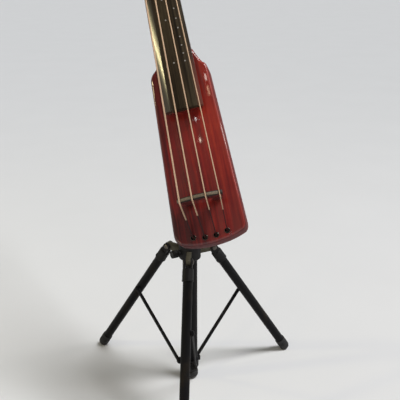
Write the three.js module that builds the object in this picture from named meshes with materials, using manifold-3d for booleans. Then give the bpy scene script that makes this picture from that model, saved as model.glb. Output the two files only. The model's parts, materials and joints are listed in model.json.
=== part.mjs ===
// Electric upright bass on its folding tripod stand. Millimetres, Z up, front towards -Y.
// The stand turns about its column. The bass is drawn in a frame of its own, with X across the
// body, Y up the strings from the bridge and Z out of the face, and hangs on the stand's head.
import * as THREE from 'three';
import { mergeVertices } from 'three/addons/utils/BufferGeometryUtils.js';
import Module from 'manifold-3d';

const wasm = await Module();
wasm.setup();

// Clearances
const gap = 0.3;
const pinGap = 0.35;
const openPinGap = 0.6;
const slideGap = 0.6;
const meshGap = 0.7;
const overrun = 2;

// Facets
const roundSides = 20;
const smallSides = 10;
const stringSides = 6;
const bendSteps = 4;
const ridgeCount = 8;

// Stand: column and its end
const tiltHeight = 530;
const mastRise = 90;
const columnRadius = 15.5;
const columnWall = 1.8;
const columnTop = tiltHeight - mastRise;
const capBottom = 3;
const capTop = 26;
const capBulbRadius = 16.8;
const capBulbHeight = 15;
const capNeckRadius = 13.4;
const capRounding = 5;
const plugDepth = 16;

// Stand: linkage of legs and braces
const standTurn = THREE.MathUtils.degToRad(-2.6);
const legNames = ['front', 'right', 'left'];
const hubPinRadius = 54;
const hubPinHeight = 305;
const footReach = 249;
const footBall = 11.5;
const footBallHeight = 9.8;
const footSleeve = 24;
const legRadius = 9.8;
const legWall = 1.5;
const clipShare = 0.402;
const braceSide = 12.8;
const braceThick = 3.5;
const braceWidth = 8;
const braceEye = 6;
const collarPinRadius = 21.5;
const collarPinHeight = 37;
const collarRadius = 18.2;
const collarHeight = 18;
const lugInner = 3;
const lugReach = 27;
const lugHeight = 12;
const rivetRadius = 3;
const rivetHead = 4.6;
const rivetHeadThick = 1.9;
const spacerRadius = 5.5;

// Stand: hub, leg heads and pins
const hubRadius = 23;
const hubHeight = 30;
const hubArmThick = 10;
const hubArmHeight = 16;
const cheekThick = 3.6;
const headSocketStart = 14;
const headSocketLength = 26;
const headSocketWall = 1.4;
const headFloor = 4;
const pinRadius = 3;
const pinHead = 5;
const pinHeadThick = 2;

// Stand: lock screws
const hubLockTurn = THREE.MathUtils.degToRad(-62);
const heightLockTurn = THREE.MathUtils.degToRad(60);
const lockBossRadius = 7;
const lockBossReach = 29;
const lockStem = 3;
const lockKnobRadius = 8.5;
const lockKnobDepth = 13;
const ridgeDepth = 0.9;
const clampRadius = 21;
const clampHeight = 24;

// Stand: sliding tube, yoke and head
const innerReach = 230;
const innerBottom = tiltHeight - innerReach;
const innerWall = 1.8;
const yokeSocketWall = 3;
const yokeSocketDepth = 24;
const yokeBase = 6;
const yokeCheek = 5;
const yokeRise = 24;
const barrelRadius = 14;
const barrelHalf = 14;
const headNeckRadius = 12;
const flangeRadius = 19;
const flangeThick = 6;
const headReach = 46.2;
const tiltBolt = 4;
const tiltKnobRadius = 15;
const tiltKnobDepth = 14;
const studRadius = 6;
const studLength = 18;
const plateThick = 6;
const plateWidth = 44;
const plateHeight = 78;
const plateCorner = 9;
const mountScrewRise = 29;
const mountScrewRadius = 2.8;
const mountScrewHead = 5.5;
const mountScrewHeadThick = 4;
const mountScrewDepth = 20;

// How the bass stands on the head: turned, leaned back, then swung on the plate
const bassTurn = THREE.MathUtils.degToRad(-12.2);
const bassLean = THREE.MathUtils.degToRad(30);
const bassSwing = THREE.MathUtils.degToRad(17.2);
const mountAcross = -20.7;
const mountUp = 133;

// Bass: body
const bodyThick = 46;
const bodyEdge = 5;
const tailHalf = 67;
const tailEnd = -79;
const tailMiddle = -10;
const tailCorner = -50;
const shoulderHalf = 56;
const shoulderRise = 248;
const shoulderTaper = 55;
const bodyTop = shoulderRise + shoulderTaper;
const heelHalf = 30;
const bassTailShares = { bow: 0.55, across: 0.86, drop: 0.72, ease: 0.3 };
const trebleTailShares = { bow: 0.45, across: 0.9, drop: 0.55, ease: 0.3 };
const trebleShares = { bow: 0.22, across: 0.86, rise: 0.3 };
const trebleWaistShares = { across: 1.33, rise: 0.56 };
const trebleHeelShares = { across: 1.18, rise: 0.8 };
const bassShares = { bow: 0.2, across: 0.82, rise: 0.35, heel: 0.6, drop: 0.45 };

// Bass: back compartment, its cover and what it holds
const bayLeft = -6;
const bayRight = 48;
const bayBottom = -38;
const bayTop = 62;
const bayDepth = 32;
const coverMargin = 7;
const coverThick = 2.5;
const coverCorner = 6;
const potRise = 45;
const potAcross = [8, 34];
const potStem = 3;
const potDepth = 17;
const potKnobRadius = 9;
const potKnobDepth = 13;
const jackAcross = 5;
const jackRise = -24;
const jackRadius = 6.5;
const jackBore = 3.3;
const jackDepth = 26;
const jackFlange = 9.5;
const jackFlangeThick = 2;
const jackFloor = 3;
const batteryAcross = 30;
const batteryRise = -10;
const batterySize = [26, 48, 17];
const boardSize = [42, 34, 1.6];
const boardRise = 42;
const chipSize = [12, 9, 3];
const chipShares = [-0.3, 0.25];

// Bass: strings, bridge, nut and tail
const stringLength = 1040;
const stringNames = ['e', 'a', 'd', 'g'];
const stringRadii = [1.45, 1.25, 1.05, 0.9];
const acrossShares = [-1 / 2, -1 / 6, 1 / 6, 1 / 2];
const bridgeSpread = 73;
const bridgeHeight = 45;
const bridgeArch = 8;
const bridgeHalf = 41.5;
const bridgeThick = 7;
const bridgeBar = 15;
const bridgeLegOuter = 34;
const bridgeLegInner = 19;
const bridgeWaist = 22;
const bridgeCrown = 29;
const nutSpread = 28.8;
const nutThick = 6;
const nutHeight = 35.5;
const nutArch = 2;
const nutShoulderShare = 1.1;
const tailSpread = 63;
const tailRow = -66;
const tailRowRise = 3.5;
const ferruleRadius = 4.4;
const ferruleBore = 3;
const ferruleRim = 5.2;
const ferruleRimThick = 0.9;
const ferruleDepth = 14;
const ferruleFloor = 4;
const stringSink = 6;

// Bass: fingerboard and neck
const boardStart = 170;
const boardEndHalf = 37;
const boardNutHalf = 22.5;
const boardBottom = 18.3;
const boardEdge = 27;
const boardCrown = 34;
const boardBevelStart = -23;
const boardBevelEdge = 28.5;
const riserStart = 174;
const riserHalf = 34;
const riserTop = 18;
const shaftStart = bodyTop + gap;
const shaftHalf = 32;
const shaftDepth = 42;
const shaftNutHalf = 22;
const shaftNutDepth = 21;
const shaftShares = { side: 0.3, back: 0.62 };

// Bass: head and tuners
const headStart = stringLength + nutThick;
const headTilt = THREE.MathUtils.degToRad(-10);
const headLength = 190;
const headThick = 18;
const headHalf = 38;
const headFlare = 46;
const headTipHalf = 22;
const headEdge = 3;
const headShares = { across: 0.92, drop: 1 / 3 };
const tunerRows = [52, 124];
const tunerAcross = 20;
const postRadius = 5;
const postRise = 24;
const windRise = 12;
const wheelRadius = 11;
const wheelThick = 6;
const wheelTeeth = 12;
const toothDepth = 0.8;
const tunerPlateHalf = 13;
const tunerPlateThick = 2.5;
const tunerPlateMargin = 26;
const wormRadius = 3.5;
const wormInner = 5;
const wormOuter = 50;
const earThick = 4;
const earInner = 8;
const earOuter = 32;
const earHalf = 5;
const earDepth = 9.5;
const keyHalf = [13, 10];
const keyThick = 6;

// Materials
function finish(color, roughness, metalness) {
  return new THREE.MeshStandardMaterial({ color, roughness, metalness });
}

const finishes = {
  wood: finish(0x6e2320, 0.22, 0),
  ebony: finish(0x32271f, 0.4, 0),
  bridgeWood: finish(0x7a6a58, 0.5, 0),
  blackPaint: finish(0x14141a, 0.35, 0.4),
  blackPlastic: finish(0x1b1b1e, 0.5, 0),
  greyPlastic: finish(0x8a8474, 0.55, 0),
  rubber: finish(0x101012, 0.85, 0),
  steel: finish(0xb4b6b8, 0.3, 1),
  bronze: finish(0xc9b48c, 0.35, 0.9),
  brass: finish(0xb59a5a, 0.35, 0.9),
  bone: finish(0xe6dfcc, 0.45, 0),
  board: finish(0x1f5a34, 0.6, 0),
};

// Solids
function signedVolume(points, faces) {
  const corners = [new THREE.Vector3(), new THREE.Vector3(), new THREE.Vector3()];
  let sum = 0;
  for (let i = 0; i < faces.length; i += 3) {
    corners.forEach((corner, k) => corner.fromArray(points, faces[i + k] * 3));
    sum += corners[0].dot(corners[1].cross(corners[2]));
  }
  return sum;
}

function solidOf(geometry) {
  const bare = geometry.clone();
  bare.deleteAttribute('normal');
  bare.deleteAttribute('uv');
  const merged = mergeVertices(bare);
  const vertProperties = new Float32Array(merged.attributes.position.array);
  const triVerts = new Uint32Array(merged.index.array);
  if (signedVolume(vertProperties, triVerts) < 0) {
    triVerts.reverse();
  }
  return new wasm.Manifold(new wasm.Mesh({ numProp: 3, vertProperties, triVerts }));
}

function geometryOf(solid) {
  const mesh = solid.getMesh();
  const geometry = new THREE.BufferGeometry();
  geometry.setAttribute('position', new THREE.BufferAttribute(new Float32Array(mesh.vertProperties), 3));
  geometry.setIndex(new THREE.BufferAttribute(new Uint32Array(mesh.triVerts), 1));
  return geometry;
}

function joined(...geometries) {
  return geometryOf(geometries.map(solidOf).reduce((sum, solid) => sum.add(solid)));
}

function cut(geometry, ...tools) {
  return geometryOf(tools.map(solidOf).reduce((rest, tool) => rest.subtract(tool), solidOf(geometry)));
}

// A round bar from the origin up Z
function rod(radius, length, sides = roundSides) {
  return new THREE.CylinderGeometry(radius, radius, length, sides).rotateX(Math.PI / 2)
    .translate(0, 0, length / 2);
}

// A tube from the origin up Z
function tube(outer, inner, length, sides = roundSides) {
  const bore = rod(inner, length + 2 * overrun, sides).translate(0, 0, -overrun);
  return cut(rod(outer, length, sides), bore);
}

// A box between two corners
function block(low, high) {
  const size = high.map((value, i) => value - low[i]);
  const middle = high.map((value, i) => (value + low[i]) / 2);
  return new THREE.BoxGeometry(...size).translate(...middle);
}

// A round bar along X between two places
function crossRod(radius, from, to, y, z, sides = smallSides) {
  return rod(radius, to - from, sides).rotateY(Math.PI / 2).translate(from, y, z);
}

// A solid turned about Z from a profile that starts and ends on the axis
function turned(profile, sides = roundSides) {
  const points = profile.map(([radius, height]) => new THREE.Vector2(radius, height));
  return new THREE.LatheGeometry(points, sides).rotateX(Math.PI / 2);
}

// Moves a solid drawn up Z so that it runs from one place towards another, X kept across
function alongLine(geometry, from, to) {
  const up = new THREE.Vector3().subVectors(to, from).normalize();
  const across = new THREE.Vector3(1, 0, 0);
  const side = new THREE.Vector3().crossVectors(up, across).normalize();
  const straight = new THREE.Vector3().crossVectors(side, up);
  const turn = new THREE.Matrix4().makeBasis(straight, side, up).setPosition(from);
  return geometry.applyMatrix4(turn);
}

// A flat sheet with rounded corners, up Z from the origin
function roundedPlate(width, height, corner, thick) {
  const shape = new THREE.Shape();
  const x = width / 2;
  const y = height / 2;
  shape.moveTo(-x + corner, -y);
  shape.lineTo(x - corner, -y);
  shape.absarc(x - corner, -y + corner, corner, -Math.PI / 2, 0);
  shape.absarc(x - corner, y - corner, corner, 0, Math.PI / 2);
  shape.absarc(-x + corner, y - corner, corner, Math.PI / 2, Math.PI);
  shape.absarc(-x + corner, -y + corner, corner, Math.PI, Math.PI * 1.5);
  return new THREE.ExtrudeGeometry(shape, { depth: thick, bevelEnabled: false, curveSegments: 4 });
}

// A grip with ridges round it, up Z from the origin
function ridgedGrip(radius, depth, count, ridge) {
  const shape = new THREE.Shape();
  for (let i = 0; i < 2 * count; i += 1) {
    const angle = (Math.PI * i) / count;
    const reach = i % 2 ? radius - ridge : radius;
    const place = [reach * Math.cos(angle), reach * Math.sin(angle)];
    if (i) shape.lineTo(...place);
    else shape.moveTo(...place);
  }
  return new THREE.ExtrudeGeometry(shape, { depth, bevelEnabled: false });
}

function named(name, geometry, material) {
  const mesh = new THREE.Mesh(geometry, material);
  mesh.name = name;
  return mesh;
}

// Stand: places on the linkage, in the plane of one leg with -Y outwards
const hubPin = new THREE.Vector3(0, -hubPinRadius, hubPinHeight);
const footPoint = new THREE.Vector3(0, -footReach, footBallHeight);
const clipPin = new THREE.Vector3().lerpVectors(hubPin, footPoint, clipShare);
const collarPin = new THREE.Vector3(0, -collarPinRadius, collarPinHeight);
const legLength = hubPin.distanceTo(footPoint);
const braceLength = clipPin.distanceTo(collarPin);
const braceInner = braceSide - braceThick / 2;
const braceOuter = braceSide + braceThick / 2;
const headCheekInner = hubArmThick / 2 + pinGap;
const headCheekOuter = headCheekInner + cheekThick;

function rivet(from, y, z) {
  const head = crossRod(rivetHead, braceOuter + gap, braceOuter + gap + rivetHeadThick, y, z);
  return joined(crossRod(rivetRadius, from, braceOuter + gap, y, z), head);
}

function columnTube() {
  const bottom = capTop + gap;
  const pipe = tube(columnRadius, columnRadius - columnWall, columnTop - bottom).translate(0, 0, bottom);
  return cut(pipe, lockHole(columnTop - clampHeight / 2, heightLockTurn));
}

function columnEndCap() {
  const bulbTop = capBottom + capBulbHeight;
  const plug = columnRadius - columnWall - gap;
  return turned([
    [0, capBottom],
    [capBulbRadius - capRounding, capBottom],
    [capBulbRadius, capBottom + capRounding],
    [capBulbRadius, bulbTop - capRounding / 2],
    [capNeckRadius, bulbTop],
    [capNeckRadius, capTop],
    [plug, capTop],
    [plug, capTop + plugDepth],
    [0, capTop + plugDepth],
  ]);
}

function lowerCollar() {
  const low = collarPinHeight - collarHeight / 2;
  const parts = [rod(collarRadius, collarHeight).translate(0, 0, low)];
  legNames.forEach((name, i) => {
    const lug = block(
      [lugInner, -lugReach, collarPinHeight - lugHeight / 2],
      [braceInner - gap, 0, collarPinHeight + lugHeight / 2],
    );
    const turn = (i * 2 * Math.PI) / legNames.length;
    parts.push(joined(lug, rivet(lugInner + overrun, collarPin.y, collarPin.z)).rotateZ(turn));
  });
  const bore = rod(columnRadius + gap, collarHeight + 2 * overrun).translate(0, 0, low - overrun);
  return cut(joined(...parts), bore).rotateZ(standTurn);
}

function hubBody() {
  const low = hubPinHeight - hubHeight / 2;
  const parts = [rod(hubRadius, hubHeight).translate(0, 0, low)];
  const holes = [];
  legNames.forEach((name, i) => {
    const turn = standTurn + (i * 2 * Math.PI) / legNames.length;
    const half = hubArmThick / 2;
    const arm = block(
      [-half, -hubPinRadius, hubPinHeight - hubArmHeight / 2],
      [half, -columnRadius, hubPinHeight + hubArmHeight / 2],
    );
    const end = crossRod(hubArmHeight / 2, -half, half, -hubPinRadius, hubPinHeight);
    const hole = crossRod(pinRadius + openPinGap, -hubRadius, hubRadius, -hubPinRadius, hubPinHeight);
    parts.push(joined(arm, end).rotateZ(turn));
    holes.push(hole.rotateZ(turn));
  });
  parts.push(lockBoss(hubPinHeight, hubLockTurn));
  holes.push(lockHole(hubPinHeight, hubLockTurn));
  holes.push(rod(columnRadius + slideGap, hubHeight + 2 * overrun).translate(0, 0, low - overrun));
  return cut(joined(...parts), ...holes);
}

// A boss on a clamp, pointing outwards from the column, for the screw that locks it
function lockBoss(height, turn) {
  return rod(lockBossRadius, lockBossReach - columnRadius, smallSides).translate(0, 0, columnRadius)
    .rotateX(Math.PI / 2).translate(0, 0, height).rotateZ(turn);
}

function lockHole(height, turn) {
  return rod(lockStem + pinGap, lockBossReach + overrun, smallSides).rotateX(Math.PI / 2)
    .translate(0, 0, height).rotateZ(turn);
}

// A lock screw whose tip stops just short of the round tube that it presses on
function lockKnob(height, turn, tubeRadius) {
  const start = tubeRadius + gap;
  const stem = rod(lockStem, lockBossReach - start + overrun, smallSides).translate(0, 0, start);
  const grip = ridgedGrip(lockKnobRadius, lockKnobDepth, ridgeCount, ridgeDepth);
  grip.translate(0, 0, lockBossReach + slideGap);
  return joined(stem, grip).rotateX(Math.PI / 2).translate(0, 0, height).rotateZ(turn);
}

function heightClamp() {
  const low = columnTop - clampHeight;
  const middle = columnTop - clampHeight / 2;
  const ring = rod(clampRadius, clampHeight).translate(0, 0, low);
  const bore = rod(columnRadius + gap, clampHeight + 2 * overrun).translate(0, 0, low - overrun);
  return cut(joined(ring, lockBoss(middle, heightLockTurn)), bore, lockHole(middle, heightLockTurn));
}

function heightLockKnob() {
  return lockKnob(columnTop - clampHeight / 2, heightLockTurn, innerRadius);
}

function legTube() {
  const start = headSocketStart + headFloor + gap;
  const length = legLength - start - gap;
  const stub = rivet(legRadius - legWall / 2, clipPin.y, clipPin.z);
  const spacer = crossRod(spacerRadius, legRadius - legWall, braceInner - gap, clipPin.y, clipPin.z);
  const pipe = tube(legRadius, legRadius - legWall, length).translate(0, 0, start);
  const core = rod(legRadius - legWall, length + 2 * overrun).translate(0, 0, start - overrun);
  const whole = joined(alongLine(pipe, hubPin, footPoint), stub, spacer);
  return cut(whole, alongLine(core, hubPin, footPoint));
}

function legHead() {
  const socket = rod(legRadius + gap + headSocketWall, headSocketLength).translate(0, 0, headSocketStart);
  const bore = rod(legRadius + gap, headSocketLength).translate(0, 0, headSocketStart + headFloor);
  const hole = crossRod(pinRadius + pinGap, -hubRadius, hubRadius, 0, 0);
  const cheeks = [-1, 1].map((side) => {
    const inner = side * headCheekInner;
    const outer = side * headCheekOuter;
    const [from, to] = side < 0 ? [outer, inner] : [inner, outer];
    const half = hubArmHeight / 2;
    const plate = block([from, -half, 0], [to, half, headSocketStart + overrun]);
    return joined(plate, crossRod(half, from, to, 0, 0));
  });
  const head = cut(joined(socket, ...cheeks), bore, hole);
  return alongLine(head, hubPin, footPoint);
}

function hubPinSolid() {
  const outer = headCheekOuter + gap;
  const end = outer + pinHeadThick;
  return joined(
    crossRod(pinRadius, -outer, outer, hubPin.y, hubPin.z),
    crossRod(pinHead, outer, end, hubPin.y, hubPin.z),
    crossRod(pinHead, -end, -outer, hubPin.y, hubPin.z),
  );
}

function rubberFoot() {
  const sleeve = rod(footBall, footSleeve).translate(0, 0, legLength - footSleeve);
  const ball = new THREE.SphereGeometry(footBall, roundSides, smallSides).rotateX(Math.PI / 2)
    .translate(0, 0, legLength);
  const bore = rod(legRadius + gap, footSleeve + overrun).translate(0, 0, legLength - footSleeve - overrun);
  const foot = alongLine(cut(joined(sleeve, ball), bore), hubPin, footPoint);
  const floor = block([-2 * footBall, -footReach - 2 * footBall, -2 * footBall], [2 * footBall, 0, 0]);
  return cut(foot, floor);
}

function brace() {
  const half = braceWidth / 2;
  const bar = block([braceInner, -half, 0], [braceOuter, half, braceLength]);
  const eyes = [0, braceLength].map((z) => crossRod(braceEye, braceInner, braceOuter, 0, z));
  const holes = [0, braceLength].map((z) => crossRod(rivetRadius + pinGap, 0, 2 * braceSide, 0, z));
  return alongLine(cut(joined(bar, ...eyes), ...holes), collarPin, clipPin);
}

// Stand: sliding tube and the yoke on it
const innerRadius = columnRadius - columnWall - slideGap;
const yokeFloor = tiltHeight - yokeRise;

function innerTube() {
  const top = yokeFloor - gap;
  return tube(innerRadius, innerRadius - innerWall, top - innerBottom).translate(0, 0, innerBottom);
}

function tiltYoke() {
  const outer = innerRadius + gap + yokeSocketWall;
  const socket = tube(outer, innerRadius + gap, yokeSocketDepth).translate(0, 0, yokeFloor - yokeSocketDepth);
  const inner = barrelHalf + pinGap;
  const far = inner + yokeCheek;
  const base = block([-far, -barrelRadius, yokeFloor - gap], [far, barrelRadius, yokeFloor + yokeBase]);
  const cheeks = [[-far, -inner], [inner, far]].map(([from, to]) => {
    const plate = block([from, -barrelRadius, yokeFloor], [to, barrelRadius, tiltHeight]);
    return joined(plate, crossRod(barrelRadius, from, to, 0, tiltHeight, roundSides));
  });
  const hole = crossRod(tiltBolt + pinGap, -far - overrun, far + overrun, 0, tiltHeight);
  const room = rod(innerRadius + gap, yokeSocketDepth).translate(0, 0, yokeFloor - yokeSocketDepth);
  return cut(joined(socket, base, ...cheeks), hole, room);
}

function tiltKnob() {
  const far = barrelHalf + pinGap + yokeCheek + gap;
  const grip = ridgedGrip(tiltKnobRadius, tiltKnobDepth, ridgeCount, 2 * ridgeDepth);
  grip.rotateY(Math.PI / 2).translate(far, 0, tiltHeight);
  const bolt = crossRod(tiltBolt, -far, far + overrun, 0, tiltHeight);
  const nut = crossRod(2 * tiltBolt, -far - 2 * tiltBolt, -far, 0, tiltHeight, 6);
  return joined(bolt, grip, nut);
}

// The head in a frame whose Z points out of the bass's back towards its face
function tiltHead() {
  const barrel = crossRod(barrelRadius, -barrelHalf, barrelHalf, 0, 0, roundSides);
  const plateBack = headReach - gap - plateThick - gap;
  const neck = rod(headNeckRadius, plateBack - flangeThick / 2);
  const flange = rod(flangeRadius, flangeThick).translate(0, 0, plateBack - flangeThick);
  const studHole = rod(studRadius + pinGap, studLength + overrun).translate(0, 0, plateBack - studLength);
  const boltHole = crossRod(tiltBolt + pinGap, -2 * barrelHalf, 2 * barrelHalf, 0, 0);
  return cut(joined(barrel, neck, flange), studHole, boltHole);
}

function screwHoles(radius, length) {
  return [-1, 1].map((side) => rod(radius, length, smallSides)
    .translate(mountAcross, mountUp + side * mountScrewRise, -bodyThick - length / 2));
}

function mountPlate() {
  const back = -bodyThick - gap - plateThick;
  const plate = roundedPlate(plateWidth, plateHeight, plateCorner, plateThick)
    .translate(mountAcross, mountUp, back);
  const stud = rod(studRadius, studLength).translate(mountAcross, mountUp, back - studLength + pinGap);
  return cut(joined(plate, stud), ...screwHoles(mountScrewRadius + pinGap, 2 * (plateThick + overrun)));
}

function mountScrew(side) {
  const back = -bodyThick - gap - plateThick - gap;
  const head = rod(mountScrewHead, mountScrewHeadThick, smallSides)
    .translate(0, 0, back - mountScrewHeadThick);
  const shank = rod(mountScrewRadius, mountScrewDepth + plateThick, smallSides).translate(0, 0, back);
  return joined(head, shank).translate(mountAcross, mountUp + side * mountScrewRise, 0);
}

// Bass: body outline, from the tail round the treble side to the neck and back
function bodyOutline() {
  const shape = new THREE.Shape();
  const tailCurve = (shares) => {
    const low = tailCorner + (tailEnd - tailCorner) * shares.drop;
    return { across: tailHalf * shares.across, low, ease: low + (tailCorner - low) * shares.ease };
  };
  const trebleTail = tailCurve(trebleTailShares);
  const bassTail = tailCurve(bassTailShares);
  const treble = trebleShares;
  const bass = bassShares;
  shape.moveTo(tailMiddle, tailEnd);
  shape.quadraticCurveTo(tailHalf * trebleTailShares.bow, tailEnd, trebleTail.across, trebleTail.low);
  shape.quadraticCurveTo(tailHalf, trebleTail.ease, tailHalf, tailCorner);
  shape.lineTo(shoulderHalf, shoulderRise);
  shape.quadraticCurveTo(shoulderHalf, shoulderRise + shoulderTaper * treble.bow,
    shoulderHalf * treble.across, shoulderRise + shoulderTaper * treble.rise);
  shape.quadraticCurveTo(heelHalf * trebleWaistShares.across,
    shoulderRise + shoulderTaper * trebleWaistShares.rise,
    heelHalf * trebleHeelShares.across, shoulderRise + shoulderTaper * trebleHeelShares.rise);
  shape.lineTo(heelHalf, bodyTop);
  shape.lineTo(-heelHalf, bodyTop);
  shape.quadraticCurveTo(-shoulderHalf * bass.heel, bodyTop - shoulderTaper * bass.drop,
    -shoulderHalf * bass.across, shoulderRise + shoulderTaper * bass.rise);
  shape.quadraticCurveTo(-shoulderHalf, shoulderRise + shoulderTaper * bass.bow, -shoulderHalf, shoulderRise);
  shape.lineTo(-tailHalf, tailCorner);
  shape.quadraticCurveTo(-tailHalf, bassTail.ease, -bassTail.across, bassTail.low);
  shape.quadraticCurveTo(-tailHalf * bassTailShares.bow, tailEnd, tailMiddle, tailEnd);
  return shape;
}

function bassBody() {
  const slab = new THREE.ExtrudeGeometry(bodyOutline(), {
    depth: bodyThick - 2 * bodyEdge,
    bevelThickness: bodyEdge,
    bevelSize: bodyEdge,
    bevelOffset: -bodyEdge,
    bevelSegments: 2,
    curveSegments: bendSteps,
  }).translate(0, 0, bodyEdge - bodyThick);
  const bay = block([bayLeft, bayBottom, -bodyThick - overrun], [bayRight, bayTop, bayDepth - bodyThick]);
  const tails = stringNames.map((name, i) => rod(ferruleRadius + gap, ferruleDepth + overrun, smallSides)
    .translate(...tailPlace(i), -ferruleDepth - gap));
  return cut(slab, bay, ...tails, ...screwHoles(mountScrewRadius + pinGap, 2 * (mountScrewDepth + overrun)));
}

function backCover() {
  const width = bayRight - bayLeft + 2 * coverMargin;
  const height = bayTop - bayBottom + 2 * coverMargin;
  const low = -bodyThick - gap - coverThick;
  const plate = roundedPlate(width, height, coverCorner, coverThick)
    .translate((bayRight + bayLeft) / 2, (bayTop + bayBottom) / 2, low);
  const through = coverThick + 2 * overrun;
  const potHoles = potAcross.map((x) => rod(potStem + pinGap, through, smallSides)
    .translate(x, potRise, low - overrun));
  const jackHole = rod(jackRadius + gap, through).translate(jackAcross, jackRise, low - overrun);
  return cut(plate, ...potHoles, jackHole);
}

function potKnob(across) {
  const back = -bodyThick - coverThick - 2 * gap;
  const grip = ridgedGrip(potKnobRadius, potKnobDepth, ridgeCount, ridgeDepth / 2)
    .translate(0, 0, back - potKnobDepth);
  const stem = rod(potStem, potDepth, smallSides).translate(0, 0, back - overrun);
  return joined(grip, stem).translate(across, potRise, 0);
}

function outputJack() {
  const back = -bodyThick - coverThick - 2 * gap;
  const flange = rod(jackFlange, jackFlangeThick).translate(0, 0, back - jackFlangeThick);
  const barrel = rod(jackRadius, jackDepth).translate(0, 0, back - gap);
  const outside = jackFlangeThick + overrun;
  const bore = rod(jackBore, outside + jackDepth - gap - jackFloor).translate(0, 0, back - outside);
  return cut(joined(flange, barrel), bore).translate(jackAcross, jackRise, 0);
}

function battery() {
  const [width, height, thick] = batterySize;
  const low = -bodyThick;
  const middle = batteryAcross;
  return block([middle - width / 2, batteryRise - height / 2, low],
    [middle + width / 2, batteryRise + height / 2, low + thick]);
}

function preampBoard() {
  const [width, height, thick] = boardSize;
  const middle = (bayLeft + bayRight) / 2;
  const top = bayDepth - bodyThick - gap;
  const sheet = block([middle - width / 2, boardRise - height / 2, top - thick],
    [middle + width / 2, boardRise + height / 2, top]);
  const chips = chipShares.map((share) => {
    const x = middle + share * width;
    return block([x - chipSize[0] / 2, boardRise - chipSize[1] / 2, top - thick - chipSize[2]],
      [x + chipSize[0] / 2, boardRise + chipSize[1] / 2, top - thick / 2]);
  });
  return joined(sheet, ...chips);
}

// Bass: the strings' places
function bridgeTop(across) {
  const share = (2 * across) / bridgeSpread;
  return bridgeHeight + bridgeArch * (1 - share * share);
}

function tailPlace(i) {
  const outside = Math.abs(acrossShares[i]) === Math.max(...acrossShares);
  return [acrossShares[i] * tailSpread, outside ? tailRow + tailRowRise : tailRow];
}

function nutTop(across) {
  const share = (2 * across) / nutSpread;
  return nutHeight + nutArch * (1 - share * share);
}

function ferrule(i) {
  const sleeve = rod(ferruleRadius, ferruleDepth + gap, smallSides).translate(0, 0, -ferruleDepth);
  const rim = rod(ferruleRim, ferruleRimThick, smallSides).translate(0, 0, gap);
  const bore = rod(ferruleBore, ferruleDepth + overrun, smallSides)
    .translate(0, 0, ferruleFloor - ferruleDepth);
  return cut(joined(sleeve, rim), bore).translate(...tailPlace(i), 0);
}

function bridge() {
  const shape = new THREE.Shape();
  shape.moveTo(-bridgeHalf, bridgeTop(-bridgeHalf));
  for (let i = 1; i <= 2 * bendSteps; i += 1) {
    const across = bridgeHalf * (i / bendSteps - 1);
    shape.lineTo(across, bridgeTop(across));
  }
  const shoulder = bridgeTop(bridgeHalf) - bridgeBar;
  shape.lineTo(bridgeHalf, shoulder);
  shape.lineTo(bridgeLegOuter, bridgeWaist);
  shape.lineTo(bridgeLegOuter, gap);
  shape.lineTo(bridgeLegInner, gap);
  shape.lineTo(bridgeLegInner, bridgeWaist);
  shape.quadraticCurveTo(0, 2 * bridgeCrown - bridgeWaist, -bridgeLegInner, bridgeWaist);
  shape.lineTo(-bridgeLegInner, gap);
  shape.lineTo(-bridgeLegOuter, gap);
  shape.lineTo(-bridgeLegOuter, bridgeWaist);
  shape.lineTo(-bridgeHalf, shoulder);
  const options = { depth: bridgeThick, bevelEnabled: false, curveSegments: bendSteps };
  return new THREE.ExtrudeGeometry(shape, options).rotateX(Math.PI / 2).translate(0, bridgeThick / 2, 0);
}

// Draws a section across the neck and runs it from one place up the strings to another
function alongNeck(shape, from, to) {
  const options = { depth: to - from, bevelEnabled: false, curveSegments: bendSteps };
  return new THREE.ExtrudeGeometry(shape, options).rotateX(Math.PI / 2).translate(0, to, 0);
}

// Narrows a solid up the strings, and thins it towards a height that stays
function tapered(geometry, from, to, widthShare, depthShare, kept) {
  const places = geometry.attributes.position;
  for (let i = 0; i < places.count; i += 1) {
    const share = (places.getY(i) - from) / (to - from);
    const height = places.getZ(i) - kept;
    places.setX(i, places.getX(i) * (1 + share * (widthShare - 1)));
    places.setZ(i, kept + height * (1 + share * (depthShare - 1)));
  }
  return geometry;
}

function fingerboard() {
  const shape = new THREE.Shape();
  shape.moveTo(-boardEndHalf, boardBottom);
  shape.lineTo(boardEndHalf, boardBottom);
  shape.lineTo(boardEndHalf, boardEdge);
  shape.quadraticCurveTo(boardEndHalf / 2, boardCrown, boardBevelStart, boardCrown);
  shape.lineTo(-boardEndHalf, boardBevelEdge);
  const board = alongNeck(shape, boardStart, stringLength - gap);
  return tapered(board, boardStart, stringLength, boardNutHalf / boardEndHalf, 1, boardBottom);
}

function nut() {
  const half = boardNutHalf;
  const shape = new THREE.Shape();
  shape.moveTo(-half, boardBottom);
  shape.lineTo(half, boardBottom);
  shape.lineTo(half, boardEdge);
  const ends = [1, -1].map((side) => (side * nutSpread) / 2);
  shape.lineTo(ends[0] * nutShoulderShare, nutHeight);
  for (let i = 0; i <= bendSteps; i += 1) {
    const across = ends[0] + ((ends[1] - ends[0]) * i) / bendSteps;
    shape.lineTo(across, nutTop(across));
  }
  shape.lineTo(ends[1] * nutShoulderShare, nutHeight);
  shape.lineTo(-half, boardEdge);
  return alongNeck(shape, stringLength, stringLength + nutThick - gap);
}

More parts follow.
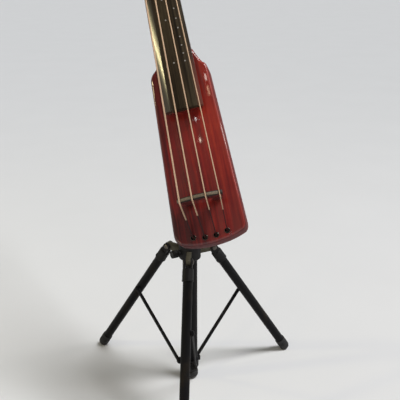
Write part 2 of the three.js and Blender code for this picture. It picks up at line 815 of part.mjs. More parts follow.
function neckShaft() {
  const shape = new THREE.Shape();
  const low = riserTop - shaftDepth;
  shape.moveTo(shaftHalf, riserTop);
  shape.lineTo(-shaftHalf, riserTop);
  const side = low + shaftDepth * shaftShares.side;
  const back = shaftHalf * shaftShares.back;
  shape.bezierCurveTo(-shaftHalf, side, -back, low, 0, low);
  shape.bezierCurveTo(back, low, shaftHalf, side, shaftHalf, riserTop);
  const shaft = alongNeck(shape, shaftStart, headStart);
  const widthShare = shaftNutHalf / shaftHalf;
  return tapered(shaft, shaftStart, headStart, widthShare, shaftNutDepth / shaftDepth, riserTop);
}

function riser() {
  const length = shaftStart - riserStart + overrun;
  const slab = block([-riserHalf, riserStart, gap], [riserHalf, riserStart + length, riserTop]);
  return tapered(slab, riserStart, riserStart + length, shaftHalf / riserHalf, 1, riserTop);
}

function headOutline() {
  const shape = new THREE.Shape();
  const tip = headLength - headFlare * headShares.drop;
  const tipCorner = headHalf * headShares.across;
  shape.moveTo(-shaftNutHalf, -headThick);
  shape.lineTo(shaftNutHalf, -headThick);
  shape.lineTo(shaftNutHalf, headThick / 2);
  shape.quadraticCurveTo(headHalf, headThick / 2, headHalf, headFlare);
  shape.lineTo(tipCorner, tip);
  shape.quadraticCurveTo(headTipHalf, tip, 0, headLength);
  shape.quadraticCurveTo(-headTipHalf, tip, -tipCorner, tip);
  shape.lineTo(-headHalf, headFlare);
  shape.quadraticCurveTo(-headHalf, headThick / 2, -shaftNutHalf, headThick / 2);
  return shape;
}

// Moves a solid from the head's own frame, its face at Z nought, to its place past the nut
function onHead(geometry) {
  return geometry.rotateX(headTilt).translate(0, headStart, riserTop);
}

function neck() {
  const through = headThick + 2 * overrun;
  const postHoles = tunerPlaces().map(([x, y]) => rod(postRadius + pinGap, through, smallSides)
    .translate(x, y, -headThick - overrun));
  const paddle = new THREE.ExtrudeGeometry(headOutline(), {
    depth: headThick - 2 * headEdge,
    bevelThickness: headEdge,
    bevelSize: headEdge,
    bevelOffset: -headEdge,
    bevelSegments: 2,
    curveSegments: bendSteps,
  }).translate(0, 0, headEdge - headThick);
  const head = onHead(cut(paddle, ...postHoles));
  const slot = block([-headHalf, headStart - 2 * headThick, boardBottom - gap],
    [headHalf, headStart, headStart]);
  return cut(joined(riser(), neckShaft(), head), slot);
}

// Bass: tuners, strings e and a on the bass side, d and g on the treble side
function tunerPlaces() {
  return [[-tunerAcross, tunerRows[0]], [-tunerAcross, tunerRows[1]],
    [tunerAcross, tunerRows[1]], [tunerAcross, tunerRows[0]]];
}

const plateBack = -headThick - gap - tunerPlateThick;
const wheelTop = plateBack - slideGap;
const wormDepth = wheelTop - wheelThick / 2;
const wormRow = wheelRadius + wormRadius + meshGap;

function tunerPlate(side) {
  const length = tunerRows[1] - tunerRows[0] + 2 * tunerPlateMargin;
  const middle = (tunerRows[0] + tunerRows[1]) / 2;
  const plate = roundedPlate(2 * tunerPlateHalf, length, headEdge, tunerPlateThick)
    .translate(side * tunerAcross, middle, plateBack);
  const ears = [];
  const holes = [];
  tunerRows.forEach((row) => {
    [earInner, earOuter].forEach((from) => {
      const [low, high] = side < 0 ? [-from - earThick, -from] : [from, from + earThick];
      const worm = row + wormRow;
      ears.push(block([low, worm - earHalf, plateBack - earDepth], [high, worm + earHalf, plateBack + gap]));
    });
    const reach = 2 * headHalf;
    holes.push(crossRod(wormRadius + pinGap, -reach, reach, row + wormRow, wormDepth));
    holes.push(rod(postRadius + pinGap, headThick, smallSides)
      .translate(side * tunerAcross, row, plateBack - headThick / 2));
  });
  return onHead(cut(joined(plate, ...ears), ...holes));
}

function tunerPost(i) {
  const [x, y] = tunerPlaces()[i];
  const low = wheelTop - wheelThick;
  const post = rod(postRadius, postRise - low, smallSides).translate(0, 0, low);
  const wheel = ridgedGrip(wheelRadius, wheelThick, wheelTeeth, toothDepth).translate(0, 0, low);
  return onHead(joined(post, wheel).translate(x, y, 0));
}

function tunerKey(i) {
  const [x, y] = tunerPlaces()[i];
  const side = Math.sign(x);
  const worm = crossRod(wormRadius, wormInner, wormOuter, 0, 0);
  const outline = new THREE.Shape();
  outline.absellipse(0, 0, keyHalf[0], keyHalf[1], 0, 2 * Math.PI);
  const options = { depth: keyThick, bevelEnabled: false, curveSegments: bendSteps };
  const leaf = new THREE.ExtrudeGeometry(outline, options)
    .translate(wormOuter + keyHalf[0] - overrun, 0, -keyThick / 2);
  const key = joined(worm, leaf);
  if (side < 0) key.rotateZ(Math.PI);
  return onHead(key.translate(0, y + wormRow, wormDepth));
}

// A string from its tail hole over bridge and nut to its post, round which it winds
function bassString(i) {
  const radius = stringRadii[i];
  const [tailX, tailY] = tailPlace(i);
  const [postX, postY] = tunerPlaces()[i];
  const bridgeX = acrossShares[i] * bridgeSpread;
  const nutX = acrossShares[i] * nutSpread;
  const windRadius = postRadius + gap + radius;
  const end = new THREE.Vector3(postX - Math.sign(postX) * windRadius, postY, windRise);
  const tilt = new THREE.Matrix4().makeRotationX(headTilt).setPosition(0, headStart, riserTop);
  const places = [
    new THREE.Vector3(tailX, tailY, -stringSink),
    new THREE.Vector3(tailX, tailY, radius),
    new THREE.Vector3(bridgeX, -bridgeThick / 2 - radius, bridgeTop(bridgeX) + gap + radius),
    new THREE.Vector3(nutX, stringLength + nutThick, nutTop(nutX) + gap + radius),
    end.clone().applyMatrix4(tilt),
  ];
  const parts = [];
  places.slice(1).forEach((to, k) => {
    const from = places[k];
    parts.push(alongString(rod(radius, from.distanceTo(to), stringSides), from, to));
    const bend = new THREE.SphereGeometry(radius, stringSides, bendSteps);
    if (k < places.length - 2) parts.push(bend.translate(...to.toArray()));
  });
  const winding = new THREE.TorusGeometry(windRadius, radius, stringSides, smallSides)
    .translate(postX, postY, windRise);
  return joined(...parts, onHead(winding));
}

// Moves a bar drawn up Z so that it runs from one place to another, however it slopes
function alongString(geometry, from, to) {
  const up = new THREE.Vector3().subVectors(to, from).normalize();
  const turn = new THREE.Quaternion().setFromUnitVectors(new THREE.Vector3(0, 0, 1), up);
  return geometry.applyQuaternion(turn).translate(...from.toArray());
}

function standGroup() {
  const { blackPaint, blackPlastic, greyPlastic, rubber, steel } = finishes;
  const stand = new THREE.Group();
  stand.add(
    named('column_tube', columnTube(), blackPaint),
    named('column_end_cap', columnEndCap(), rubber),
    named('lower_collar', lowerCollar(), blackPaint),
    named('hub', hubBody(), greyPlastic),
    named('hub_lock_knob', lockKnob(hubPinHeight, hubLockTurn, columnRadius), blackPlastic),
    named('height_clamp', heightClamp(), blackPlastic),
    named('height_lock_knob', heightLockKnob(), blackPlastic),
    named('inner_tube', innerTube(), steel),
  );
  legNames.forEach((name, i) => {
    const leg = new THREE.Group();
    leg.rotation.z = standTurn + (i * 2 * Math.PI) / legNames.length;
    leg.add(
      named(`leg_${name}`, legTube(), blackPaint),
      named(`leg_head_${name}`, legHead(), blackPlastic),
      named(`hub_pin_${name}`, hubPinSolid(), steel),
      named(`foot_${name}`, rubberFoot(), rubber),
      named(`brace_${name}`, brace(), blackPaint),
    );
    stand.add(leg);
  });
  return stand;
}

function headGroup() {
  const { blackPaint, blackPlastic, steel } = finishes;
  const yoke = new THREE.Group();
  yoke.rotation.z = bassTurn;
  const head = new THREE.Group();
  head.position.z = tiltHeight;
  head.rotation.x = Math.PI / 2 - bassLean;
  head.add(named('tilt_head', tiltHead(), steel));
  yoke.add(
    named('tilt_yoke', tiltYoke(), blackPaint),
    named('tilt_knob', tiltKnob(), blackPlastic),
    head,
  );
  return yoke;
}

function bassGroup() {
  const { wood, ebony, bridgeWood, blackPaint, blackPlastic, steel, bronze, brass, bone, board } = finishes;
  const bass = new THREE.Group();
  bass.add(
    named('body', bassBody(), wood),
    named('neck', neck(), wood),
    named('fingerboard', fingerboard(), ebony),
    named('nut', nut(), bone),
    named('bridge', bridge(), bridgeWood),
    named('back_cover', backCover(), blackPlastic),
    named('volume_knob', potKnob(potAcross[0]), blackPlastic),
    named('tone_knob', potKnob(potAcross[1]), blackPlastic),
    named('output_jack', outputJack(), steel),
    named('battery', battery(), blackPlastic),
    named('preamp_board', preampBoard(), board),
    named('mount_plate', mountPlate(), blackPaint),
    named('mount_screw_upper', mountScrew(1), steel),
    named('mount_screw_lower', mountScrew(-1), steel),
    named('tuner_plate_bass', tunerPlate(-1), brass),
    named('tuner_plate_treble', tunerPlate(1), brass),
  );
  stringNames.forEach((name, i) => {
    bass.add(
      named(`string_${name}`, bassString(i), bronze),
      named(`tail_ferrule_${name}`, ferrule(i), steel),
      named(`tuner_post_${name}`, tunerPost(i), brass),
      named(`tuner_key_${name}`, tunerKey(i), brass),
    );
  });
  return bass;
}

// Hangs the bass on the head: its back lies against the head's plate at the mount's place
function placeBass(bass) {
  const turn = new THREE.Matrix4().makeRotationZ(bassTurn)
    .multiply(new THREE.Matrix4().makeRotationX(Math.PI / 2 - bassLean))
    .multiply(new THREE.Matrix4().makeRotationZ(bassSwing));
  const mount = new THREE.Vector3(-mountAcross, -mountUp, headReach + bodyThick).applyMatrix4(turn);
  bass.setRotationFromMatrix(turn);
  bass.position.set(mount.x, mount.y, mount.z + tiltHeight);
}

const group = new THREE.Group();
const bass = bassGroup();
placeBass(bass);
group.add(standGroup(), headGroup(), bass);
group.updateMatrixWorld(true);
const extent = new THREE.Box3().setFromObject(group, true);
group.position.set(-(extent.min.x + extent.max.x) / 2, -(extent.min.y + extent.max.y) / 2, -extent.min.z);

export default group;
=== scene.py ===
"""Dresses an electric upright bass on its folding tripod stand, piece by piece."""

import json
import logging
import math
from contextlib import contextmanager
from dataclasses import dataclass
from enum import Enum
from itertools import pairwise
from typing import Iterator, Sequence

import bmesh
import bpy
from mathutils import Matrix, Vector

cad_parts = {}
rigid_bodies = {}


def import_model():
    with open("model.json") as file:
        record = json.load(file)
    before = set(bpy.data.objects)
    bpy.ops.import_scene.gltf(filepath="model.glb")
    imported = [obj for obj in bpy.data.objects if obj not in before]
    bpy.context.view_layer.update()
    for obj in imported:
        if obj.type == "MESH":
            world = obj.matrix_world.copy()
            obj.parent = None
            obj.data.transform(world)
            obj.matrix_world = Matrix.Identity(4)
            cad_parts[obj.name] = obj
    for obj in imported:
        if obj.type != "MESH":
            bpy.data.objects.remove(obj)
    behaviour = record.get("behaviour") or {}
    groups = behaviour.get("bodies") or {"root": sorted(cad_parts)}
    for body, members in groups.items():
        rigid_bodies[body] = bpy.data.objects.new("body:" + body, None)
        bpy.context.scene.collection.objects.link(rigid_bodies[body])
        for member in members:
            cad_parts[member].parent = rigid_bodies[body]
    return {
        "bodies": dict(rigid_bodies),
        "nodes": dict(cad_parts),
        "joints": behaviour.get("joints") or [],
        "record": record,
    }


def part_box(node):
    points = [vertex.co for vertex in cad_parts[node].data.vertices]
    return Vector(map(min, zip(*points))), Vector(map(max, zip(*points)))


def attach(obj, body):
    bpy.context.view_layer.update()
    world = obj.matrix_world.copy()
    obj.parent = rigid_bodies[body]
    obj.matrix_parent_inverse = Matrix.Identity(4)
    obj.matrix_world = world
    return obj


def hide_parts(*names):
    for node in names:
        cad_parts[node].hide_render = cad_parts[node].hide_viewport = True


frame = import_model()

log = logging.getLogger("upright_bass")

# One millimetre in the scene's metres
MM = 0.001
# Points closer than this many millimetres are one point
MERGE = 0.001
# How far apart two pieces that touch are kept, in millimetres
GAP = 0.3
# A face looks straight along an axis when its normal reaches this far along it
STRAIGHT = 0.99
Piece = bpy.types.Object
Material = bpy.types.Material
Point = tuple[float, float]
# The two values that something changes over between
Span = tuple[float, float]
Place = tuple[float, float, float]
Colour = tuple[float, float, float]
# How many lumps of a pattern there are in a millimetre, along X, Y and Z
Grain = tuple[float, float, float]
Operand = "Value | float | Sequence[float]"


# Places: the frames that the pieces are modelled in, all in millimetres


@dataclass(frozen=True)
class Layout:
    """The frames of stand, legs, head, bass and peg head, worked out from a few turns and sizes."""

    stand_turn: float = math.radians(-2.6)
    bass_turn: float = math.radians(-12.2)
    bass_lean: float = math.radians(30)
    bass_swing: float = math.radians(17.2)
    tilt_height: float = 530
    head_reach: float = 46.2
    body_thick: float = 46
    mount_across: float = -20.7
    mount_up: float = 133
    string_length: float = 1040
    nut_thick: float = 6
    peg_rise: float = 18
    peg_tilt: float = math.radians(-10)

    def stand(self) -> Matrix:
        """Works out the frame on the column's axis at the floor.

        Returns:
            The stand's frame, scaled to millimetres.
        """
        low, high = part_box("column_tube")
        middle = [(a + b) / 2 for a, b in zip(low, high)]
        return Matrix.Translation((middle[0], middle[1], 0)) @ Matrix.Scale(MM, 4)

    def leg(self, index: int) -> Matrix:
        """Returns the frame of a leg, with -Y outwards; 0 is the front leg, then anticlockwise."""
        return self.stand() @ Matrix.Rotation(self.stand_turn + index * math.tau / 3, 4, "Z")

    def yoke(self) -> Matrix:
        """Returns the frame on the column's axis, turned as the bass is."""
        return self.stand() @ Matrix.Rotation(self.bass_turn, 4, "Z")

    def head(self) -> Matrix:
        """Returns the frame of the tilting head, with Z out towards the bass."""
        lift = Matrix.Translation((0, 0, self.tilt_height))
        return self.yoke() @ lift @ Matrix.Rotation(math.pi / 2 - self.bass_lean, 4, "X")

    def bass(self) -> Matrix:
        """Returns the frame of the bass: X across, Y up the strings from the bridge, Z out of the face."""
        hang = Matrix.Translation((-self.mount_across, -self.mount_up, self.head_reach + self.body_thick))
        return self.head() @ Matrix.Rotation(self.bass_swing, 4, "Z") @ hang

    def peg(self) -> Matrix:
        """Returns the frame of the peg head, with its face at Z nought."""
        start = Matrix.Translation((0, self.string_length + self.nut_thick, self.peg_rise))
        return self.bass() @ start @ Matrix.Rotation(self.peg_tilt, 4, "X")


LAYOUT = Layout()


# Shader maths


class Value:
    """An output in a material, so that a sum written in Python adds its Math nodes."""

    def __init__(self, graph: "Graph", socket: bpy.types.NodeSocket) -> None:
        """Keeps the graph and the socket that the value comes from."""
        self.graph = graph
        self.socket = socket

    def _math(self, operation: str, first: Operand, second: Operand = 0.0) -> "Value":
        """Adds one Math node for two values and returns its output."""
        return self.graph.add("ShaderNodeMath", {"operation": operation}, {0: first, 1: second})

    def __add__(self, other: Operand) -> "Value":
        """Returns the sum."""
        return self._math("ADD", self, other)

    __radd__ = __add__

    def __sub__(self, other: Operand) -> "Value":
        """Returns the difference."""
        return self._math("SUBTRACT", self, other)

    def __rsub__(self, other: Operand) -> "Value":
        """Returns the difference the other way round."""
        return self._math("SUBTRACT", other, self)

    def __mul__(self, other: Operand) -> "Value":
        """Returns the product."""
        return self._math("MULTIPLY", self, other)

    __rmul__ = __mul__

    def sine(self) -> "Value":
        """Returns the sine."""
        return self._math("SINE", self)

    def rise(self, low: float, high: float) -> "Value":
        """Goes smoothly from 0 at the low value to 1 at the high one."""
        inputs = {"Value": self, "From Min": low, "From Max": high}
        return self.graph.add("ShaderNodeMapRange", {"interpolation_type": "SMOOTHSTEP"}, inputs)


class Graph:
    """The node tree of one material, with a place in millimetres in the piece's own frame."""

    def __init__(self, name: str, local: Matrix) -> None:
        """Starts a material.

        Args:
            name: the material's name.
            local: the frame, scaled to millimetres, that its patterns follow.
        """
        self.material = bpy.data.materials.new(name)
        self.material.use_nodes = True
        self.tree = self.material.node_tree
        self.shader = self.tree.nodes["Principled BSDF"]
        position, turn, scale = local.decompose()
        coordinates = self.tree.nodes.new("ShaderNodeTexCoord")
        mapping = {"Location": position, "Rotation": turn.to_euler(), "Scale": scale}
        mapping["Vector"] = Value(self, coordinates.outputs["Object"])
        self.place = self.add("ShaderNodeMapping", {"vector_type": "TEXTURE"}, mapping)

    def add(self, kind: str, settings: dict, inputs: dict, output: int = 0) -> Value:
        """Adds one node of any kind.

        Args:
            kind: the node's type.
            settings: its properties, set first; a ramp takes its stops here.
            inputs: values or outputs for its sockets, by name or number.
            output: which of its outputs to hand back.

        Returns:
            The chosen output.
        """
        node = self.tree.nodes.new(kind)
        for key, setting in settings.items():
            if key == "stops":
                self._set_stops(node.color_ramp, setting)
            else:
                setattr(node, key, setting)
        for key, value in inputs.items():
            self._feed(node.inputs[key], value)
        return Value(self, node.outputs[output])

    def _feed(self, socket: bpy.types.NodeSocket, value: Operand) -> None:
        """Links a socket to an output, or sets it to a plain value.

        Args:
            socket: the socket to fill.
            value: the output or the value.
        """
        if isinstance(value, Value):
            self.tree.links.new(value.socket, socket)
        else:
            socket.default_value = value

    @staticmethod
    def _set_stops(ramp: bpy.types.ColorRamp, stops: Sequence[tuple[float, Colour]]) -> None:
        """Gives a ramp its stops, lowest first.

        Args:
            ramp: the ramp.
            stops: positions with their colours.
        """
        while len(ramp.elements) < len(stops):
            ramp.elements.new(1.0)
        for element, (position, colour) in zip(ramp.elements, stops):
            element.position = position
            element.color = (*colour, 1.0)

    def axes(self) -> tuple[Value, Value, Value]:
        """Returns the three millimetre coordinates."""
        return tuple(self.add("ShaderNodeSeparateXYZ", {}, {0: self.place}, axis) for axis in range(3))

    def noise(self, grain: Grain, detail: float = 3.0, roughness: float = 0.5, bend: float = 0.0) -> Value:
        """Adds noise whose size differs along each axis.

        Args:
            grain: how fine it is.
            detail: octaves of finer noise.
            roughness: how strong the finer noise is.
            bend: how far the pattern is distorted.

        Returns:
            The noise, from 0 to 1.
        """
        scaled = self.add("ShaderNodeVectorMath", {"operation": "MULTIPLY"}, {0: self.place, 1: grain})
        inputs = {"Vector": scaled, "Scale": 1.0, "Detail": detail, "Roughness": roughness}
        inputs["Distortion"] = bend
        return self.add("ShaderNodeTexNoise", {}, inputs)

    def ramp(self, share: Value, stops: Sequence[tuple[float, Colour]]) -> Value:
        """Returns the colour at a share of a ramp, whose stops are positions with colours."""
        return self.add("ShaderNodeValToRGB", {"stops": stops}, {"Fac": share})

    def mix(self, share: Value, first: Operand, second: Operand) -> Value:
        """Returns a blend of two colours, all of the first at share 0."""
        colours = [value if isinstance(value, Value) else (*value, 1.0) for value in (first, second)]
        return self.add("ShaderNodeMix", {"data_type": "RGBA"}, {0: share, 6: colours[0], 7: colours[1]}, 2)

    def bump(self, height: Value, depth_mm: float, strength: float = 1.0) -> Value:
        """Returns a normal that is raised by a height, of which one unit is depth_mm millimetres."""
        inputs = {"Height": height, "Distance": depth_mm * MM, "Strength": strength}
        return self.add("ShaderNodeBump", {}, inputs)

    def surface(self, **sockets: Operand) -> Material:
        """Fills the shader's own sockets.

        Args:
            sockets: values by socket name, with an underscore for each blank.

        Returns:
            The finished material.
        """
        for key, value in sockets.items():
            plain = isinstance(value, tuple) and len(value) == 3
            self._feed(self.shader.inputs[key.replace("_", " ")], (*value, 1.0) if plain else value)
        return self.material


# Finishes


MADE: dict[tuple, Material] = {}


@dataclass(frozen=True)
class Finish:
    """What a surface is made of, as one procedural material for each frame that it is used in."""

    slot: str = "black_paint"

    def paint(self, graph: Graph) -> Material:
        """Fills the material's nodes; each finish has its own."""
        raise NotImplementedError

    def material(self, local: Matrix) -> Material:
        """Makes the material once for each frame.

        Args:
            local: the frame that its patterns follow.

        Returns:
            The material.
        """
        key = (self, *(round(value, 6) for row in local for value in row))
        if key not in MADE:
            MADE[key] = self.paint(Graph(f"{type(self).__name__}_{self.slot}", local))
        return MADE[key]


@dataclass(frozen=True)
class StainedMaple(Finish):
    """Figured maple under dark red stain and a gloss lacquer."""

    slot: str = "stained_wood"
    deep: Colour = (0.052, 0.0035, 0.0045)
    middle: Colour = (0.190, 0.0120, 0.0095)
    bright: Colour = (0.400, 0.0360, 0.0160)
    brown: Colour = (0.0850, 0.0230, 0.0180)
    face: Span = (-2.4, -1.6)
    streak_grain: Grain = (0.13, 0.0050, 0.13)
    fibre_grain: Grain = (0.9, 0.02, 0.9)
    curl_grain: Grain = (0.022, 0.085, 0.03)
    cloud_grain: Grain = (0.011, 0.007, 0.011)
    brown_grain: Grain = (0.06, 0.0060, 0.06)
    ripple_grain: Grain = (0.05, 0.02, 0.05)

    def paint(self, graph: Graph) -> Material:
        """Lays streaks and curled figure in the stain, and paints light across it, darker towards the tail
        and the bass side.

        The lacquer is only glossy on the face and where its edge begins to turn, and the sides and rounded
        edges are darkened towards the deep colour as painted shade.

        Args:
            graph: the material's graph.

        Returns:
            The material.
        """
        across, along, depth = graph.axes()
        streaks = graph.noise(self.streak_grain, 4.0, 0.60, 0.4).rise(0.28, 0.72)
        fibres = graph.noise(self.fibre_grain, 2.0, 0.5)
        curl = graph.noise(self.curl_grain, 2.0, 0.45, 1.4)
        clouds = graph.noise(self.cloud_grain, 2.0, 0.5)
        light = (across * 0.0042 + along * 0.0013 + 0.36).rise(0.0, 1.0)
        # The painted light, the streaks and the figure each take their part of the colour's depth
        share = light * 0.44 + streaks * 0.30 + fibres * 0.12 + curl * 0.10 + clouds * 0.24 - 0.20
        stain = graph.ramp(share, [(0.12, self.deep), (0.42, self.middle), (0.80, self.bright)])
        brown = graph.noise(self.brown_grain, 4.0, 0.6, 0.3).rise(0.46, 0.68)
        browned = graph.mix(brown * 0.45, stain, self.brown)
        ripple = graph.noise(self.ripple_grain, 1.0, 0.4)
        face = depth.rise(*self.face)
        return graph.surface(
            # Painted shade: the sides and rounded edges are darkened towards the deep colour
            Base_Color=graph.mix((1 - face) * 0.6, browned, self.deep),
            Roughness=0.60 - 0.30 * face + 0.12 * fibres,
            Specular_IOR_Level=0.2,
            Coat_Weight=face,
            Coat_Roughness=0.03,
            Coat_IOR=1.45,
            Normal=graph.bump(ripple + fibres * 0.02, 0.016, 0.7),
        )


@dataclass(frozen=True)
class StreakedEbony(Finish):
    """Dark brown ebony with open pores, polished on its bevel, with a painted reflection of the red body
    along the treble edge near the body.
    """

    slot: str = "ebony"
    dark: Colour = (0.0105, 0.0080, 0.0055)
    brown: Colour = (0.0340, 0.0240, 0.0135)
    pale: Colour = (0.0620, 0.0480, 0.0280)
    sapwood: Colour = (0.1350, 0.0400, 0.0280)
    sap_edge: Span = (26, 33)
    sap_fade: Span = (210, 300)
    bevel: Span = (-23, -16)
    streak_grain: Grain = (0.16, 0.0035, 0.16)
    pore_grain: Grain = (1.8, 0.05, 1.8)

    def paint(self, graph: Graph) -> Material:
        """Lays streaks along the strings, fine pores and a painted reflection of the red body.

        Args:
            graph: the material's graph.

        Returns:
            The material.
        """
        across, along, _ = graph.axes()
        streaks = graph.noise(self.streak_grain, 4.0, 0.6, 0.5)
        pores = graph.noise(self.pore_grain, 2.0, 0.6)
        wood = graph.ramp(streaks, [(0.32, self.dark), (0.52, self.brown), (0.74, self.pale)])
        # Painted reflection of the red body on the treble edge, fading out away from the body
        painted_reflection = across.rise(*self.sap_edge) * (1 - along.rise(*self.sap_fade))
        with_reflection = graph.mix(painted_reflection * 0.85, wood, self.sapwood)
        bevel = 1 - across.rise(*self.bevel)
        return graph.surface(
            Base_Color=graph.mix(pores.rise(0.56, 0.72) * 0.7, with_reflection, self.dark),
            Roughness=0.44 + 0.14 * pores,
            Specular_IOR_Level=0.07,
            Coat_Weight=bevel,
            Coat_Roughness=0.12,
            Normal=graph.bump(pores, 0.006, 0.5),
        )


@dataclass(frozen=True)
class BridgeWood(Finish):
    """Hardwood that is grey-brown on its worn top and stained red below, darker at its ends, with painted
    shade near the top of its faces and a painted shadow along the back of its top.
    """

    slot: str = "bridge_wood"
    worn: Colour = (0.235, 0.190, 0.130)
    plain: Colour = (0.085, 0.066, 0.046)
    # The dark colour of the painted shade and shadow, also used for the darker ends
    edge: Colour = (0.014, 0.008, 0.006)
    stained: Colour = (0.085, 0.009, 0.008)
    front_edge: Span = (2.5, 3.4)
    back_edge: Span = (1.6, 2.6)
    top_edge: Span = (37, 43)
    tip: Span = (32, 36)
    fleck_grain: Grain = (0.35, 0.9, 0.5)

    def paint(self, graph: Graph) -> Material:
        """Stains both faces, paints shade on them near the top, paints a shadow along the back of the top and
        speckles the worn top.

        Args:
            graph: the material's graph.

        Returns:
            The material.
        """
        across, along, height = graph.axes()
        flecks = graph.noise(self.fleck_grain, 4.0, 0.65)
        top = graph.ramp(flecks, [(0.36, self.plain), (0.66, self.worn)])
        # The faces and a band along the back of the top take the face colour; on that band it is a painted
        # shadow
        faces_and_painted_shadow = (0 - along).rise(*self.front_edge) + along.rise(*self.back_edge)
        # Painted shade: the faces turn to the dark colour near the top
        face = graph.mix(height.rise(*self.top_edge), self.stained, self.edge)
        tipped = graph.mix(across.rise(*self.tip) * 0.9, top, self.edge)
        return graph.surface(
            Base_Color=graph.mix(faces_and_painted_shadow, tipped, face),
            Roughness=0.45 + 0.22 * flecks,
            Specular_IOR_Level=0.3,
            Normal=graph.bump(flecks, 0.12, 0.6),
        )


@dataclass(frozen=True)
class WoundString(Finish):
    """Bronze-coloured tape wound on a steel core, wrapped in dark silk at both ends."""

    slot: str = "wound_bronze"
    metal: Colour = (0.745, 0.525, 0.360)
    tarnish: Colour = (0.535, 0.360, 0.230)
    silk: Colour = (0.034, 0.008, 0.008)
    silk_below: float = -29
    silk_above: float = 1052
    fade: float = 1.5
    worn_below: Span = (-12, -3)
    pitch: float = 0.8
    wear_grain: Grain = (0.3, 0.01, 0.3)

    def paint(self, graph: Graph) -> Material:
        """Ribs the tape along the string and changes to silk at the ends.

        Args:
            graph: the material's graph.

        Returns:
            The material.
        """
        _, along, _ = graph.axes()
        ribs = (along * (math.tau / self.pitch)).sine() * 0.5 + 0.5
        handled = graph.noise(self.wear_grain, 2.0)
        bare = along.rise(self.silk_below - self.fade, self.silk_below)
        bare = bare * (1 - along.rise(self.silk_above, self.silk_above + self.fade))
        tape = graph.mix(handled * 0.5 + ribs * 0.15, self.metal, self.tarnish)
        # The tape is darker and duller from the tail up to just below the bridge
        bare = bare * (along.rise(*self.worn_below) * 0.4 + 0.6)
        return graph.surface(
            Base_Color=graph.mix(bare, self.silk, tape),
            Metallic=bare * 0.35,
            Roughness=0.74 - bare * 0.36,
            Specular_IOR_Level=0.25,
            Normal=graph.bump(ribs, 0.06, 0.5),
        )


@dataclass(frozen=True)
class PowderCoat(Finish):
    """Black powder coat on steel tube, fine-grained and a little rubbed."""

    slot: str = "black_paint"
    coat: Colour = (0.0070, 0.0068, 0.0074)
    rubbed: Colour = (0.021, 0.016, 0.010)
    pebble_grain: Grain = (1.1, 1.1, 1.1)
    patch_grain: Grain = (0.035, 0.035, 0.012)

    def paint(self, graph: Graph) -> Material:
        """Pebbles the coat and rubs it in patches.

        Args:
            graph: the material's graph.

        Returns:
            The material.
        """
        pebble = graph.noise(self.pebble_grain, 2.0, 0.5)
        patches = graph.noise(self.patch_grain, 4.0, 0.6)
        colour = graph.mix(patches.rise(0.50, 0.74) * 0.6, self.coat, self.rubbed)
        return graph.surface(
            Base_Color=colour,
            Roughness=0.34 + 0.16 * patches,
            Specular_IOR_Level=0.08,
            Normal=graph.bump(pebble, 0.05, 0.5),
        )


@dataclass(frozen=True)
class BareSteel(Finish):
    """Nickelled steel, turned, with a light haze of handling."""

    slot: str = "steel"
    bright: Colour = (0.620, 0.605, 0.580)
    dull: Colour = (0.360, 0.345, 0.325)
    line_grain: Grain = (0.06, 0.06, 2.4)
    haze_grain: Grain = (0.06, 0.06, 0.06)

    def paint(self, graph: Graph) -> Material:
        """Draws fine turning lines and dulls the metal in patches.

        Args:
            graph: the material's graph.

        Returns:
            The material.
        """
        lines = graph.noise(self.line_grain, 2.0, 0.6)
        haze = graph.noise(self.haze_grain, 3.0, 0.6)
        return graph.surface(
            Base_Color=graph.mix(haze.rise(0.35, 0.75), self.bright, self.dull),
            Metallic=1.0,
            Roughness=0.20 + 0.14 * haze + 0.06 * lines,
            Normal=graph.bump(lines, 0.012, 0.5),
        )


@dataclass(frozen=True)
class BurntSteel(BareSteel):
    """Steel that is browned nearly black, as on the ferrules and the hinge pins."""

    bright: Colour = (0.130, 0.115, 0.100)
    dull: Colour = (0.045, 0.038, 0.034)


@dataclass(frozen=True)
class TunerBrass(Finish):
    """Satin brass of the tuners, browned in patches."""

    slot: str = "tuner_brass"
    satin: Colour = (0.560, 0.385, 0.135)
    brown: Colour = (0.225, 0.130, 0.045)
    brush_grain: Grain = (0.15, 2.2, 0.8)
    patina_grain: Grain = (0.09, 0.09, 0.09)

    def paint(self, graph: Graph) -> Material:
        """Browns the brass in patches over fine brushing.

        Args:
            graph: the material's graph.

        Returns:
            The material.
        """
        brushing = graph.noise(self.brush_grain, 2.0, 0.6)
        patina = graph.noise(self.patina_grain, 4.0, 0.65)
        return graph.surface(
            Base_Color=graph.mix(patina.rise(0.42, 0.78) * 0.7, self.satin, self.brown),
            Metallic=1.0,
            Roughness=0.26 + 0.18 * patina,
            Normal=graph.bump(brushing, 0.02, 0.5),
        )


class Tone(Enum):
    """The moulded plastics: each has its base colour, worn colour and material slot."""

    BLACK = ((0.0085, 0.0082, 0.0086), (0.026, 0.024, 0.022), "black_plastic")
    # Black moulding made paler and warmer, as painted warm light on the hub's arms
    OLIVE = ((0.062, 0.056, 0.038), (0.110, 0.098, 0.066), "grey_plastic")
    BONE = ((0.720, 0.660, 0.520), (0.820, 0.780, 0.680), "bone")
    PEARL = ((0.290, 0.270, 0.245), (0.420, 0.395, 0.365), "bone")


@dataclass(frozen=True)
class Moulding(Finish):
    """Moulded plastic or bone: faintly textured, paler where hands rub it."""

    tone: Tone = Tone.BLACK
    slot: str = "black_plastic"
    pebble_grain: Grain = (1.6, 1.6, 1.6)
    patch_grain: Grain = (0.05, 0.05, 0.05)

    def paint(self, graph: Graph) -> Material:
        """Gives the moulding its grain and its rubbed patches.

        Args:
            graph: the material's graph.

        Returns:
            The material.
        """
        base, worn, _ = self.tone.value
        grain = graph.noise(self.pebble_grain, 2.0, 0.6)
        patches = graph.noise(self.patch_grain, 3.0, 0.6)
        return graph.surface(
            Base_Color=graph.mix(patches.rise(0.45, 0.80) * 0.5, base, worn),
            Roughness=0.40 + 0.20 * patches,
            Specular_IOR_Level=0.16,
            Normal=graph.bump(grain, 0.04, 0.5),
        )


def moulding(tone: Tone) -> Moulding:
    """Returns the moulding of one tone, in its own slot."""
    return Moulding(tone=tone, slot=tone.value[2])


